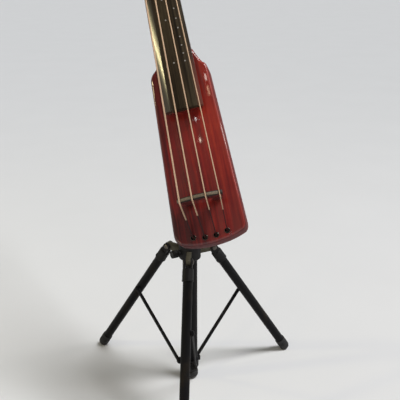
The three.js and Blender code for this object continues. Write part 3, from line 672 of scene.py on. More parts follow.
@dataclass(frozen=True)
class FloorRubber(Finish):
    """Dull black rubber with dust where it meets the floor."""

    slot: str = "rubber"
    clean: Colour = (0.0090, 0.0088, 0.0090)
    dusty: Colour = (0.075, 0.070, 0.064)
    dust: Span = (1.0, 14.0)
    speck_grain: Grain = (0.8, 0.8, 0.8)

    def paint(self, graph: Graph) -> Material:
        """Dusts the rubber near the floor.

        Args:
            graph: the material's graph.

        Returns:
            The material.
        """
        _, _, height = graph.axes()
        specks = graph.noise(self.speck_grain, 4.0, 0.7)
        dust = (1 - height.rise(*self.dust)) * specks.rise(0.35, 0.75)
        return graph.surface(
            Base_Color=graph.mix(dust * 0.55, self.clean, self.dusty),
            Roughness=0.62 + 0.2 * specks,
            Normal=graph.bump(specks, 0.10, 0.6),
        )


@dataclass(frozen=True)
class CircuitBoard(Finish):
    """Green solder mask with faint copper tracks beneath it."""

    slot: str = "circuit_board"
    mask: Colour = (0.010, 0.070, 0.026)
    track: Colour = (0.030, 0.150, 0.055)
    slant: Point = (1.3, 0.4)
    wander_grain: Grain = (0.12, 0.12, 0.12)

    def paint(self, graph: Graph) -> Material:
        """Draws tracks under the mask.

        Args:
            graph: the material's graph.

        Returns:
            The material.
        """
        across, along, _ = graph.axes()
        wander = graph.noise(self.wander_grain, 1.0)
        line = across * self.slant[0] + along * self.slant[1]
        tracks = (line + wander * 6.0).sine().rise(0.55, 0.75)
        return graph.surface(
            Base_Color=graph.mix(tracks, self.mask, self.track),
            Roughness=0.30 + 0.15 * wander,
            Normal=graph.bump(tracks, 0.03, 0.5),
        )


# Modelling steps


def clear_selection() -> None:
    """Leaves nothing selected and no mode open."""
    if bpy.context.object and bpy.context.object.mode != "OBJECT":
        bpy.ops.object.mode_set(mode="OBJECT")
    bpy.ops.object.select_all(action="DESELECT")


def pick(piece: Piece) -> None:
    """Selects one piece alone and makes it the active one.

    Args:
        piece: the piece to select.
    """
    clear_selection()
    piece.select_set(True)
    bpy.context.view_layer.objects.active = piece


@contextmanager
def editing(piece: Piece) -> Iterator[bmesh.types.BMesh]:
    """Opens a piece in edit mode, with all of it selected.

    Args:
        piece: the piece to edit.

    Yields:
        The mesh being edited.
    """
    pick(piece)
    bpy.ops.object.mode_set(mode="EDIT")
    bpy.ops.mesh.select_mode(type="VERT")
    bpy.ops.mesh.select_all(action="SELECT")
    yield bmesh.from_edit_mesh(piece.data)
    bpy.ops.object.mode_set(mode="OBJECT")


def select_faces(piece: Piece, mesh: bmesh.types.BMesh, chosen: list[int]) -> None:
    """Selects faces and nothing else.

    Args:
        piece: the piece in edit mode.
        mesh: its mesh.
        chosen: the faces' numbers.
    """
    bpy.ops.mesh.select_mode(type="FACE")
    bpy.ops.mesh.select_all(action="DESELECT")
    mesh.faces.ensure_lookup_table()
    for index in chosen:
        mesh.faces[index].select_set(True)
    bmesh.update_edit_mesh(piece.data)


def caps(mesh: bmesh.types.BMesh) -> list[int]:
    """Finds the faces that look straight up or down.

    Args:
        mesh: the mesh to look through.

    Returns:
        The faces' numbers.
    """
    mesh.normal_update()
    mesh.faces.ensure_lookup_table()
    return [face.index for face in mesh.faces if abs(face.normal.z) > STRAIGHT]


def round_rims(piece: Piece, width: float, segments: int) -> None:
    """Rounds the rims of a sheet's top and bottom.

    Args:
        piece: the sheet.
        width: how wide the rounding is.
        segments: faces across the rounding.
    """
    with editing(piece) as mesh:
        select_faces(piece, mesh, caps(mesh))
        bpy.ops.mesh.region_to_loop()
        bpy.ops.mesh.bevel(offset=width, segments=segments, profile=0.5, affect="EDGES", clamp_overlap=False)


def turn(profile: Sequence[Point], sides: int = 48) -> Piece:
    """Turns a solid about Z, drawing its circle out ring by ring.

    Args:
        profile: radius and height of each ring, from one flat end to the other.
        sides: points round each ring.

    Returns:
        The solid.
    """
    clear_selection()
    radius, height = profile[0]
    place = (0, 0, height)
    bpy.ops.mesh.primitive_circle_add(vertices=sides, radius=radius, fill_type="NGON", location=place)
    piece = bpy.context.object
    bpy.ops.object.transform_apply()
    with editing(piece):
        for (from_radius, from_height), (to_radius, to_height) in pairwise(profile):
            share = to_radius / from_radius
            move = {"value": (0, 0, to_height - from_height)}
            bpy.ops.mesh.extrude_region_move(TRANSFORM_OT_translate=move)
            bpy.ops.transform.resize(value=(share, share, 1), center_override=(0, 0, to_height))
    return outwards(piece)


def drawn(places: Sequence[Sequence[float]], closed: bool, radius: float = 0.0) -> Piece:
    """Draws a line through places as a curve and makes it a mesh.

    Args:
        places: the places in order.
        closed: whether the line ends where it starts.
        radius: how thick a cord it becomes, or nought for a bare line.

    Returns:
        The line or the cord.
    """
    curve = bpy.data.curves.new("line", "CURVE")
    curve.dimensions = "3D"
    curve.bevel_depth = radius
    curve.bevel_resolution = 3
    curve.use_fill_caps = True
    spline = curve.splines.new("POLY")
    spline.points.add(len(places) - 1)
    spline.use_cyclic_u = closed
    for point, place in zip(spline.points, places):
        point.co = (*place, 1)
    piece = bpy.data.objects.new("line", curve)
    bpy.context.scene.collection.objects.link(piece)
    pick(piece)
    bpy.ops.object.convert(target="MESH")
    return bpy.context.object


def sheet(outline: Sequence[Point], thick: float) -> Piece:
    """Draws a flat outline on the XY plane, fills it and pulls it up to a thickness.

    Args:
        outline: the outline's points in order.
        thick: how far it is pulled up Z.

    Returns:
        The solid.
    """
    piece = drawn([(x, y, 0) for x, y in outline], closed=True)
    with editing(piece):
        bpy.ops.mesh.remove_doubles(threshold=MERGE)
        bpy.ops.mesh.edge_face_add()
        bpy.ops.mesh.extrude_region_move(TRANSFORM_OT_translate={"value": (0, 0, thick)})
    return outwards(piece)


def lengthwise(section: Sequence[Point], start: float, end: float) -> Piece:
    """Pulls a section, drawn as X and Z, along Y from one place to another."""
    lying = forwards(sheet(section, start - end))
    return outwards(shifted(lying, 0, start, 0))


def upright(outline: Sequence[Point], start: float, thick: float) -> Piece:
    """Stands a sheet up across X from its start on, so that its outline is drawn as Y and Z."""
    standing = Matrix(((0, 0, 1, start), (1, 0, 0, 0), (0, 1, 0, 0), (0, 0, 0, 1)))
    return moved(sheet(outline, thick), standing)


def narrowed(piece: Piece, shares: Sequence[float], about: Sequence[float]) -> Piece:
    """Scales the end that looks up Y, so that a length tapers towards it.

    Args:
        piece: the piece.
        shares: the end's new size along X, Y and Z, as shares.
        about: the place that stays.

    Returns:
        The piece.
    """
    with editing(piece) as mesh:
        mesh.normal_update()
        select_faces(piece, mesh, [face.index for face in mesh.faces if face.normal.y > STRAIGHT])
        bpy.ops.transform.resize(value=shares, center_override=about)
    return outwards(piece)


def outwards(piece: Piece) -> Piece:
    """Merges doubled points and turns every face outwards.

    Args:
        piece: the piece.

    Returns:
        The piece.
    """
    with editing(piece):
        bpy.ops.mesh.remove_doubles(threshold=MERGE)
        bpy.ops.mesh.normals_make_consistent(inside=False)
    return piece


def slab(low: Sequence[float], high: Sequence[float]) -> Piece:
    """Adds a block between two corners.

    Args:
        low: its lowest corner.
        high: its highest corner.

    Returns:
        The block.
    """
    clear_selection()
    middle = [(a + b) / 2 for a, b in zip(low, high)]
    size = [b - a for a, b in zip(low, high)]
    bpy.ops.mesh.primitive_cube_add(size=1, location=middle, scale=size)
    bpy.ops.object.transform_apply()
    return bpy.context.object


def moved(piece: Piece, matrix: Matrix) -> Piece:
    """Moves a piece's mesh, and leaves its object where it is."""
    piece.data.transform(matrix)
    return piece


def shifted(piece: Piece, x: float, y: float, z: float) -> Piece:
    """Slides a piece's mesh."""
    return moved(piece, Matrix.Translation((x, y, z)))


def along_x(piece: Piece) -> Piece:
    """Lays a solid that stands up Z down along X."""
    return moved(piece, Matrix.Rotation(math.pi / 2, 4, "Y"))


def forwards(piece: Piece) -> Piece:
    """Lays a solid that stands up Z down along -Y."""
    return moved(piece, Matrix.Rotation(math.pi / 2, 4, "X"))


def turned(angle: float, height: float) -> Matrix:
    """Returns a turn about Z at a height."""
    return Matrix.Translation((0, 0, height)) @ Matrix.Rotation(angle, 4, "Z")


def joined(*pieces: Piece) -> Piece:
    """Joins several solids into the first.

    Args:
        pieces: the solids.

    Returns:
        The one piece.
    """
    clear_selection()
    for piece in pieces:
        piece.select_set(True)
    bpy.context.view_layer.objects.active = pieces[0]
    bpy.ops.object.join()
    return pieces[0]


def repeated(piece: Piece, frames: Sequence[Matrix]) -> list[Piece]:
    """Copies a piece to several frames, each copy with a mesh of its own.

    Args:
        piece: the piece, which goes to the first frame.
        frames: the frames.

    Returns:
        The pieces.
    """
    pieces = [piece]
    for _ in frames[1:]:
        pick(piece)
        bpy.ops.object.duplicate()
        pieces.append(bpy.context.object)
    return [moved(each, frame) for each, frame in zip(pieces, frames)]


def cut_away(piece: Piece, *tools: Piece) -> Piece:
    """Cuts solids out of a piece and removes them.

    Args:
        piece: the piece that is cut.
        tools: the solids that cut it.

    Returns:
        The piece.
    """
    for tool in tools:
        pick(piece)
        cutter = piece.modifiers.new("cut", "BOOLEAN")
        cutter.operation = "DIFFERENCE"
        cutter.solver = "EXACT"
        cutter.object = tool
        bpy.ops.object.modifier_apply(modifier=cutter.name)
        bpy.data.objects.remove(tool)
    return piece


def softened(piece: Piece, width: float, segments: int = 2, sharp: float = 35.0) -> Piece:
    """Rounds a piece's edges and shades it smooth between them.

    Args:
        piece: the piece.
        width: how wide the rounding is.
        segments: faces across the rounding.
        sharp: edges that turn more than this many degrees are rounded.

    Returns:
        The piece.
    """
    pick(piece)
    if width:
        bevel = piece.modifiers.new("soften", "BEVEL")
        bevel.width = width
        bevel.segments = segments
        bevel.limit_method = "ANGLE"
        bevel.angle_limit = math.radians(sharp)
        bevel.harden_normals = True
        bpy.ops.object.modifier_apply(modifier=bevel.name)
    bpy.ops.object.shade_smooth_by_angle(angle=math.radians(sharp))
    return piece


def arc(middle: Point, radius: float, start: float, end: float, steps: int) -> list[Point]:
    """Returns points on an arc between two angles in degrees, both ends included."""
    angles = [math.radians(start + (end - start) * i / steps) for i in range(steps + 1)]
    return [(middle[0] + radius * math.cos(a), middle[1] + radius * math.sin(a)) for a in angles]


def bow(start: Point, via: Point, end: Point, steps: int = 8) -> list[Point]:
    """Returns points on a curve that leaves its start towards one place and reaches its end from it.

    Args:
        start: the first point.
        via: the place that pulls the curve.
        end: the last point.
        steps: how many steps it takes.

    Returns:
        The points after the start.
    """
    points = []
    for i in range(1, steps + 1):
        t = i / steps
        weights = ((1 - t) ** 2, 2 * t * (1 - t), t ** 2)
        points.append(tuple(sum(w * p[k] for w, p in zip(weights, (start, via, end))) for k in range(2)))
    return points


def chamfered(radius: float, low: float, high: float, edge: float) -> list[Point]:
    """Returns the profile of a round bar with chamfered ends, as radius and height."""
    return [(radius - edge, low), (radius, low + edge), (radius, high - edge), (radius - edge, high)]


def rounded_rectangle(width: float, height: float, corner: float, steps: int = 5) -> list[Point]:
    """Draws a rectangle with round corners about the origin.

    Args:
        width: its size along X.
        height: its size along Y.
        corner: the corners' radius.
        steps: how many steps each corner takes.

    Returns:
        The outline's points.
    """
    x = width / 2 - corner
    y = height / 2 - corner
    corners = [((x, y), 0), ((-x, y), 90), ((-x, -y), 180), ((x, -y), 270)]
    return [p for middle, start in corners for p in arc(middle, corner, start, start + 90, steps)]


def grip(radius: float, depth: float, count: int, ridge: float, dish: float = 0.0) -> Piece:
    """Makes a round grip with smooth ridges and a dished end, up Z from the origin.

    Args:
        radius: the ridges' radius.
        depth: the grip's length.
        count: how many ridges.
        ridge: how deep the hollows between them are.
        dish: how deep the end is sunk.

    Returns:
        The grip.
    """
    steps = 6 * count
    outline = []
    for i in range(steps):
        angle = math.tau * i / steps
        # A power below 1 makes the ridges narrower than the hollows between them
        reach = radius - ridge * (0.5 - 0.5 * math.cos(count * angle)) ** 0.7
        outline.append((reach * math.cos(angle), reach * math.sin(angle)))
    piece = sheet(outline, depth)
    if dish:
        with editing(piece) as mesh:
            top = [face.index for face in mesh.faces
                   if face.normal.z > STRAIGHT and face.calc_center_median().z > depth / 2]
            select_faces(piece, mesh, top)
            bpy.ops.mesh.inset(thickness=radius * 0.22)
            bpy.ops.transform.translate(value=(0, 0, -dish))
    return softened(piece, min(ridge, depth) * 0.45, 2, 40)


def deliver(piece: Piece, name: str, local: Matrix, finish: Finish, body: str, *nodes: str) -> None:
    """Puts a finished piece in its place and hands it over.

    Args:
        piece: the piece, in millimetres in its own frame.
        name: its name.
        local: its frame.
        finish: its finish.
        body: the moving body that it rides on.
        nodes: the plain nodes that it stands for.
    """
    moved(piece, local)
    piece.name = name
    piece.data.materials.clear()
    piece.data.materials.append(finish.material(local))
    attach(piece, body)
    if nodes:
        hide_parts(*nodes)
    log.info("%s: %d faces on %s", name, len(piece.data.polygons), body)


def ring(profile: Sequence[Point], bore: float) -> Piece:
    """Turns a ring about Z, with a bore right through it.

    Args:
        profile: radius and height of each place on its outside, from one end to the other.
        bore: the bore's radius.

    Returns:
        The ring.
    """
    over = 2
    low, high = profile[0][1], profile[-1][1]
    return cut_away(turn(profile, 56), turn([(bore, low - over), (bore, high + over)], 56))


def rivet(start: float, end: float, y: float, z: float) -> Piece:
    """Returns a rivet along X with a domed head.

    Args:
        start: where its shank starts.
        end: where its head ends.
        y: its place along Y.
        z: its height.

    Returns:
        The rivet.
    """
    shank, wide, head = 3, 4.6, end - 1.9
    rings = [(shank, start), (shank, head), (wide, head), (wide, head + 0.7), (wide * 0.8, end - 0.3),
             (wide * 0.4, end)]
    return shifted(along_x(softened(turn(rings, 24), 0, sharp=50)), 0, y, z)


def slotted_head(radius: float, rise: float) -> Piece:
    """Returns a domed screw head that looks down -Z, with a slot across it.

    Args:
        radius: the head's radius.
        rise: how far it stands out.

    Returns:
        The head.
    """
    rings = [(radius * 0.5, -rise), (radius * 0.85, -rise * 0.75), (radius, -rise * 0.2), (radius, 0.4)]
    head = turn(rings, 28)
    slot = slab((-radius * 2, -radius * 0.14, -rise * 2), (radius * 2, radius * 0.14, -rise * 0.45))
    return softened(cut_away(head, slot), 0)


BLACK = moulding(Tone.BLACK)
OLIVE = moulding(Tone.OLIVE)
BONE = moulding(Tone.BONE)
PEARL = moulding(Tone.PEARL)


# Stand


class Leg(Enum):
    """The three legs, anticlockwise from the front."""

    FRONT = 0
    RIGHT = 1
    LEFT = 2

    @property
    def word(self) -> str:
        """Returns the leg's name as its nodes use it."""
        return self.name.lower()

    @property
    def turn(self) -> Matrix:
        """Returns the turn from the front leg to this one."""
        return Matrix.Rotation(self.value * math.tau / 3, 4, "Z")


@dataclass
class LockScrew:
    """A screw with a ridged grip that locks a clamp on its tube."""

    node: str
    body: str
    height: float
    direction: float
    tube_radius: float
    boss_radius: float = 7
    boss_reach: float = 29
    stem: float = 3
    stem_end: float = 2
    grip_radius: float = 8.5
    grip_depth: float = 13
    ridges: int = 8
    ridge: float = 1.1
    dish: float = 1.2

    def build(self) -> None:
        """Builds and dresses the screw."""
        start = self.tube_radius + GAP
        stem = turn([(self.stem, start), (self.stem, self.boss_reach + self.stem_end)], 24)
        head = grip(self.grip_radius, self.grip_depth, self.ridges, self.ridge, self.dish)
        shifted(head, 0, 0, self.boss_reach + 2 * GAP)
        screw = forwards(joined(head, softened(stem, 0)))
        local = LAYOUT.stand() @ turned(self.direction, self.height)
        deliver(screw, f"{self.node}_grip", local, BLACK, self.body, self.node)

    @classmethod
    def boss(cls, start: float) -> Piece:
        """Makes the boss that a lock screw goes through, along -Y from its clamp's wall.

        Args:
            start: how far from the column's axis the wall is.

        Returns:
            The boss.
        """
        radius, reach = cls.boss_radius, cls.boss_reach
        rings = [(radius + 1.2, start), (radius, start + 4), (radius, reach - 1), (radius - 1, reach)]
        return forwards(softened(turn(rings, 32), 0))


@dataclass
class Column:
    """The upright tube with its rubber end, its lower collar and the clamp at its top."""

    radius: float = 15.5
    wall: float = 1.8
    top: float = LAYOUT.tilt_height - 90
    cap_bottom: float = 3
    cap_top: float = 26
    cap_radius: float = 16.8
    cap_neck: float = 13.4
    cap_bulb: float = 15
    collar_middle: float = 37
    collar_height: float = 18
    collar_radius: float = 18.2
    collar_chamfer: float = 1.2
    lug_reach: float = 27
    lug_inner: float = 3
    lug_outer: float = 10.75
    lug_height: float = 12
    pin_reach: float = 21.5
    rivet_end: float = 16.7
    clamp_radius: float = 21
    clamp_height: float = 24
    clamp_chamfer: float = 1.5
    clamp_turn: float = math.radians(60)

    def build(self) -> None:
        """Builds and dresses the column's pieces."""
        stand = LAYOUT.stand()
        paint = PowderCoat()
        deliver(self.tube(), "column_pipe", stand, paint, "column", "column_tube")
        deliver(self.cap(), "column_bulb", stand, FloorRubber(), "column", "column_end_cap")
        deliver(self.collar(), "brace_collar", LAYOUT.leg(0), paint, "column", "lower_collar")
        deliver(self.clamp(), "height_clamp_ring", stand, BLACK, "column", "height_clamp")

    def tube(self) -> Piece:
        """Makes the tube, open at its top.

        Returns:
            The tube.
        """
        inner = self.radius - self.wall
        bottom = self.cap_top + GAP
        rings = [(self.radius, bottom), (self.radius, self.top), (inner, self.top),
                 (inner, self.top - 2 * self.clamp_height)]
        return softened(turn(rings, 64), 0.3)

    def cap(self) -> Piece:
        """Makes the rubber bulb with its narrow neck.

        Returns:
            The bulb.
        """
        bulb_top = self.cap_bottom + self.cap_bulb
        low = arc((self.cap_radius - 5, self.cap_bottom + 5), 5, -90, 0, 6)
        high = bow((self.cap_radius, bulb_top - 3), (self.cap_radius, bulb_top), (self.cap_neck, bulb_top), 5)
        rings = [*low, (self.cap_radius, bulb_top - 3), *high, (self.cap_neck, self.cap_top),
                 (self.radius - self.wall, self.cap_top)]
        return softened(turn(rings, 48), 0)

    def collar(self) -> Piece:
        """Makes the collar with three lugs and their rivets.

        Returns:
            The collar.
        """
        low = self.collar_middle - self.collar_height / 2
        high = low + self.collar_height
        band = ring(chamfered(self.collar_radius, low, high, self.collar_chamfer), self.radius + GAP)
        half = self.lug_height / 2
        lug = softened(slab((self.lug_inner, -self.lug_reach, self.collar_middle - half),
                            (self.lug_outer, -self.radius, self.collar_middle + half)), 1.6, 3)
        pin = rivet(self.lug_inner, self.rivet_end, -self.pin_reach, self.collar_middle)
        return joined(softened(band, 0), *repeated(joined(lug, pin), [leg.turn for leg in Leg]))

    def clamp(self) -> Piece:
        """Makes the ring at the column's top with the boss for its screw.

        Returns:
            The clamp.
        """
        low = self.top - self.clamp_height
        outside = chamfered(self.clamp_radius, low, self.top, self.clamp_chamfer)
        band = ring(outside, self.radius + GAP)
        boss = moved(LockScrew.boss(self.radius), turned(self.clamp_turn, self.clamp_middle()))
        return joined(softened(band, 0.5), boss)

    def clamp_middle(self) -> float:
        """Returns the height of the clamp's middle, where its screw goes in."""
        return self.top - self.clamp_height / 2


@dataclass
class Hub:
    """The sliding hub: a black ring with three arms that the legs hinge on, the arms black moulding in a
    paler olive that is painted warm light.
    """

    height: float = 305
    radius: float = 23
    tall: float = 30
    chamfer: float = 2
    bore: float = 16.1
    arm_thick: float = 10
    arm_tall: float = 16
    pin_radius: float = 54
    lock_turn: float = math.radians(-62)

    def build(self) -> None:
        """Builds and dresses the hub."""
        stand = LAYOUT.stand()
        half = self.tall / 2
        outside = chamfered(self.radius, self.height - half, self.height + half, self.chamfer)
        barrel = softened(ring(outside, self.bore), 0.6)
        boss = moved(LockScrew.boss(self.bore), turned(self.lock_turn, self.height))
        deliver(joined(barrel, boss), "hub_ring", stand, BLACK, "hub", "hub")
        arms = repeated(self.arm(), [leg.turn for leg in Leg])
        # The arms are black moulding in the paler olive tone: painted warm light
        deliver(joined(*arms), "hub_arms", LAYOUT.leg(0), OLIVE, "hub")

    def arm(self) -> Piece:
        """Makes one arm, with a round end at its pin.

        Returns:
            The front arm.
        """
        half = self.arm_tall / 2
        end = arc((-self.pin_radius, self.height), half, 90, 270, 10)
        outline = [(-self.bore, self.height + half), *end, (-self.bore, self.height - half)]
        return softened(upright(outline, -self.arm_thick / 2, self.arm_thick), 0.9, 2, 50)


@dataclass
class TripodLegs:
    """The three legs with their heads, pins, rubber feet and braces, each modelled once and copied."""

    pin_radius: float = Hub.pin_radius
    pin_height: float = Hub.height
    foot_reach: float = 249
    foot_height: float = 9.8
    radius: float = 9.8
    wall: float = 1.5
    clip_share: float = 0.402
    socket_start: float = 14
    socket_length: float = 26
    socket_wall: float = 1.4
    cheek_inner: float = 5.35
    cheek_thick: float = 3.6
    cheek_half: float = 8
    foot_radius: float = 11.4
    foot_sleeve: float = 24
    groove: float = 0.9
    grooves: tuple[float, ...] = (7, 12)
    brace_side: float = 12.8
    brace_thick: float = 3.5
    brace_half: float = 4
    brace_eye: float = 6
    collar_reach: float = Column.pin_reach
    collar_height: float = Column.collar_middle
    spacer_radius: float = 5.5
    pin: float = 3
    pin_head: float = 5

    def __post_init__(self) -> None:
        """Works out the places of a leg's pins and its length."""
        self.top = Vector((0, -self.pin_radius, self.pin_height))
        self.foot = Vector((0, -self.foot_reach, self.foot_height))
        self.clip = self.top.lerp(self.foot, self.clip_share)
        self.collar = Vector((0, -self.collar_reach, self.collar_height))
        self.length = (self.foot - self.top).length

    def build(self) -> None:
        """Builds and dresses the legs' pieces."""
        self.place(self.tube(), "leg_pipe", PowderCoat(), "leg", "leg")
        self.place(self.head(), "leg_clevis", BLACK, "leg", "leg_head")
        self.place(self.hinge_pin(), "leg_pin", BurntSteel(), "leg", "hub_pin")
        self.place(self.rubber_foot(), "leg_boot", FloorRubber(), "leg", "foot")
        self.place(self.brace(), "brace_bar", PowderCoat(), "brace", "brace")

    def place(self, piece: Piece, name: str, finish: Finish, body: str, node: str) -> None:
        """Copies a piece to the three legs and hands the copies over.

        Args:
            piece: the piece in a leg's frame.
            name: the first part of its name.
            finish: its finish.
            body: the first part of its body's name.
            node: the first part of its node's name.
        """
        for leg, copy in zip(Leg, repeated(piece, [Matrix.Identity(4)] * len(Leg))):
            word = leg.word
            deliver(copy, f"{name}_{word}", LAYOUT.leg(leg.value), finish, f"{body}_{word}", f"{node}_{word}")

    def down_line(self, piece: Piece, start: Vector, end: Vector) -> Piece:
        """Lays a solid that stands up Z along the line from one pin to another, X kept across.

        Args:
            piece: the solid.
            start: the pin it starts from.
            end: the pin it leads to.

        Returns:
            The solid.
        """
        up = (end - start).normalized()
        side = up.cross(Vector((1, 0, 0))).normalized()
        across = side.cross(up)
        facing = Matrix((across, side, up)).transposed().to_4x4()
        return moved(piece, Matrix.Translation(start) @ facing)

    def tube(self) -> Piece:
        """Makes the leg's tube with the spacer and rivet that carry the brace.

        Returns:
            The tube.
        """
        start = self.socket_start + 4
        pipe = softened(turn([(self.radius, start), (self.radius, self.length - GAP)], 40), 0)
        self.down_line(pipe, self.top, self.foot)
        inner = self.brace_side - self.brace_thick / 2 - GAP
        depth = self.radius - self.wall
        spacer = along_x(softened(turn([(self.spacer_radius, depth), (self.spacer_radius, inner)], 28), 0.4))
        shifted(spacer, 0, self.clip.y, self.clip.z)
        end = self.brace_side + self.brace_thick / 2 + 2.2
        return joined(pipe, spacer, rivet(depth, end, self.clip.y, self.clip.z))

    def head(self) -> Piece:
        """Makes the forked head that holds the tube and hinges on the hub.

        Returns:
            The head.
        """
        outer = self.radius + GAP + self.socket_wall
        end = self.socket_start + self.socket_length
        socket = turn([(outer - 1.5, self.socket_start), (outer, self.socket_start + 2), (outer, end - 3),
                       (outer + 0.6, end - 2.4), (outer + 0.6, end), (self.radius + GAP, end)], 40)
        foot = self.socket_start + 3
        outline = arc((0, 0), self.cheek_half, 180, 360, 12)
        outline += [(self.cheek_half, foot), (-self.cheek_half, foot)]
        cheek = softened(upright(outline, self.cheek_inner, self.cheek_thick), 0.7, 2, 50)
        across = Matrix.Translation((-2 * self.cheek_inner - self.cheek_thick, 0, 0))
        cheeks = repeated(cheek, [Matrix.Identity(4), across])
        return self.down_line(joined(softened(socket, 0.4), *cheeks), self.top, self.foot)

    def hinge_pin(self) -> Piece:
        """Makes the pin through hub and leg head, with a domed head at each end.

        Returns:
            The pin.
        """
        outer = self.cheek_inner + self.cheek_thick + GAP
        tip = outer + 2
        half = [(self.pin, outer), (self.pin_head, outer), (self.pin_head, outer + 0.8),
                (self.pin_head * 0.9, tip - 0.6), (self.pin_head * 0.5, tip)]
        rings = [(radius, -place) for radius, place in reversed(half)] + half
        return shifted(along_x(softened(turn(rings, 28), 0)), 0, self.top.y, self.top.z)

    def rubber_foot(self) -> Piece:
        """Makes a sleeve with two grooves and a round end, flat where it stands.

        Returns:
            The foot.
        """
        start = self.length - self.foot_sleeve
        rings = [(self.radius + GAP, start), (self.foot_radius - 0.8, start)]
        rings.append((self.foot_radius, start + 0.8))
        hollow = ((0, 0), (self.groove, 0.5), (self.groove, 1.7), (0, 2.2))
        for place in self.grooves:
            rings += [(self.foot_radius - depth, start + place + along) for depth, along in hollow]
        rings += [(r, self.length + h) for h, r in arc((0, 0), self.foot_radius, 90, 14, 9)]
        foot = self.down_line(softened(turn(rings, 48), 0), self.top, self.foot)
        with editing(foot):
            bpy.ops.mesh.bisect(plane_co=(0, 0, 0), plane_no=(0, 0, 1), use_fill=True, clear_inner=True)
        return softened(outwards(foot), 0)

    def brace(self) -> Piece:
        """Makes the flat brace with a round eye at each end.

        Returns:
            The brace.
        """
        length = (self.clip - self.collar).length
        waist = math.degrees(math.asin(self.brace_half / self.brace_eye))
        low = arc((0, 0), self.brace_eye, 90 + waist, 450 - waist, 14)
        high = arc((0, length), self.brace_eye, -90 + waist, 270 - waist, 14)
        start = self.brace_side - self.brace_thick / 2
        bar = softened(upright([*low, *high], start, self.brace_thick), 0.7, 2, 50)
        return self.down_line(bar, self.collar, self.clip)


@dataclass
class Mast:
    """The sliding tube with the yoke on its top, the tilting head in the yoke and its knob."""

    tube_radius: float = 13.1
    tube_bottom: float = 300
    socket_wall: float = 3
    socket_depth: float = 24
    tilt_height: float = LAYOUT.tilt_height
    floor: float = LAYOUT.tilt_height - 24
    base: float = 6
    barrel_radius: float = 14
    barrel_half: float = 14
    cheek: float = 5
    clearance: float = 0.35
    bolt: float = 4
    knob_radius: float = 15
    knob_depth: float = 14
    neck_radius: float = 12
    flange_radius: float = 19
    flange_thick: float = 6
    plate_back: float = LAYOUT.head_reach - 6.6
    stud_radius: float = 6.35
    stud_depth: float = 18
    lobes: int = 6
    lobe: float = 2.6
    dish: float = 2

    def build(self) -> None:
        """Builds and dresses the mast's pieces."""
        stand = LAYOUT.stand()
        tube = turn([(self.tube_radius, self.tube_bottom), (self.tube_radius, self.floor - GAP)], 56)
        deliver(softened(tube, 0), "mast_pipe", stand, BareSteel(), "mast", "inner_tube")
        deliver(self.yoke(), "tilt_fork", LAYOUT.yoke(), PowderCoat(), "mast", "tilt_yoke")
        deliver(self.head(), "tilt_block", LAYOUT.head(), BareSteel(), "head", "tilt_head")
        deliver(self.knob(), "tilt_grip", LAYOUT.yoke(), BLACK, "tilt_lock", "tilt_knob")

    def yoke(self) -> Piece:
        """Makes the fork: a socket on the tube, a base and two round-topped cheeks.

        Returns:
            The fork.
        """
        bore = self.tube_radius + GAP
        outer = bore + self.socket_wall
        low = self.floor - self.socket_depth
        socket = turn([(bore, low), (outer - 1, low), (outer, low + 1), (outer, self.floor)])
        inner = self.barrel_half + self.clearance
        far = inner + self.cheek
        base = slab((-far, -self.barrel_radius, self.floor - GAP),
                    (far, self.barrel_radius, self.floor + self.base))
        rounded = arc((0, self.tilt_height), self.barrel_radius, 0, 180, 20)
        outline = [(-self.barrel_radius, self.floor + 1), (self.barrel_radius, self.floor + 1), *rounded]
        cheek = softened(upright(outline, inner, self.cheek), 0.9, 2, 50)
        cheeks = repeated(cheek, [Matrix.Identity(4), Matrix.Translation((-far - inner, 0, 0))])
        return joined(softened(socket, 0.4), softened(base, 0.8), *cheeks)

    def head(self) -> Piece:
        """Makes the block that tilts: a barrel, a neck and a flange with a hole for the stud.

        Returns:
            The block.
        """
        barrel = turn(chamfered(self.barrel_radius, -self.barrel_half, self.barrel_half, 1))
        start = self.plate_back - self.flange_thick
        flange = chamfered(self.flange_radius, start, self.plate_back, 1)
        neck = turn([(self.neck_radius, 0), (self.neck_radius, start - 4),
                     (self.neck_radius + 1.5, start - 1), (self.neck_radius + 4, start), *flange,
                     (self.stud_radius, self.plate_back),
                     (self.stud_radius, self.plate_back - self.stud_depth)])
        return joined(softened(neck, 0), along_x(softened(barrel, 0)))

    def knob(self) -> Piece:
        """Makes the lobed knob with its bolt and the nut at the far end.

        Returns:
            The knob.
        """
        far = self.barrel_half + self.clearance + self.cheek + GAP
        head = shifted(grip(self.knob_radius, self.knob_depth, self.lobes, self.lobe, self.dish), 0, 0, far)
        bolt = turn([(self.bolt, -far), (self.bolt, far + 2)], 24)
        nut = softened(turn([(2 * self.bolt, -far - 2 * self.bolt), (2 * self.bolt, -far)], 6), 0.6)
        tip = turn([(self.bolt * 0.7, -far - 2 * self.bolt - 0.01), (self.bolt, -far - self.bolt)], 24)
        whole = along_x(joined(head, softened(bolt, 0), nut, softened(tip, 0)))
        return shifted(whole, 0, 0, self.tilt_height)


# Bass


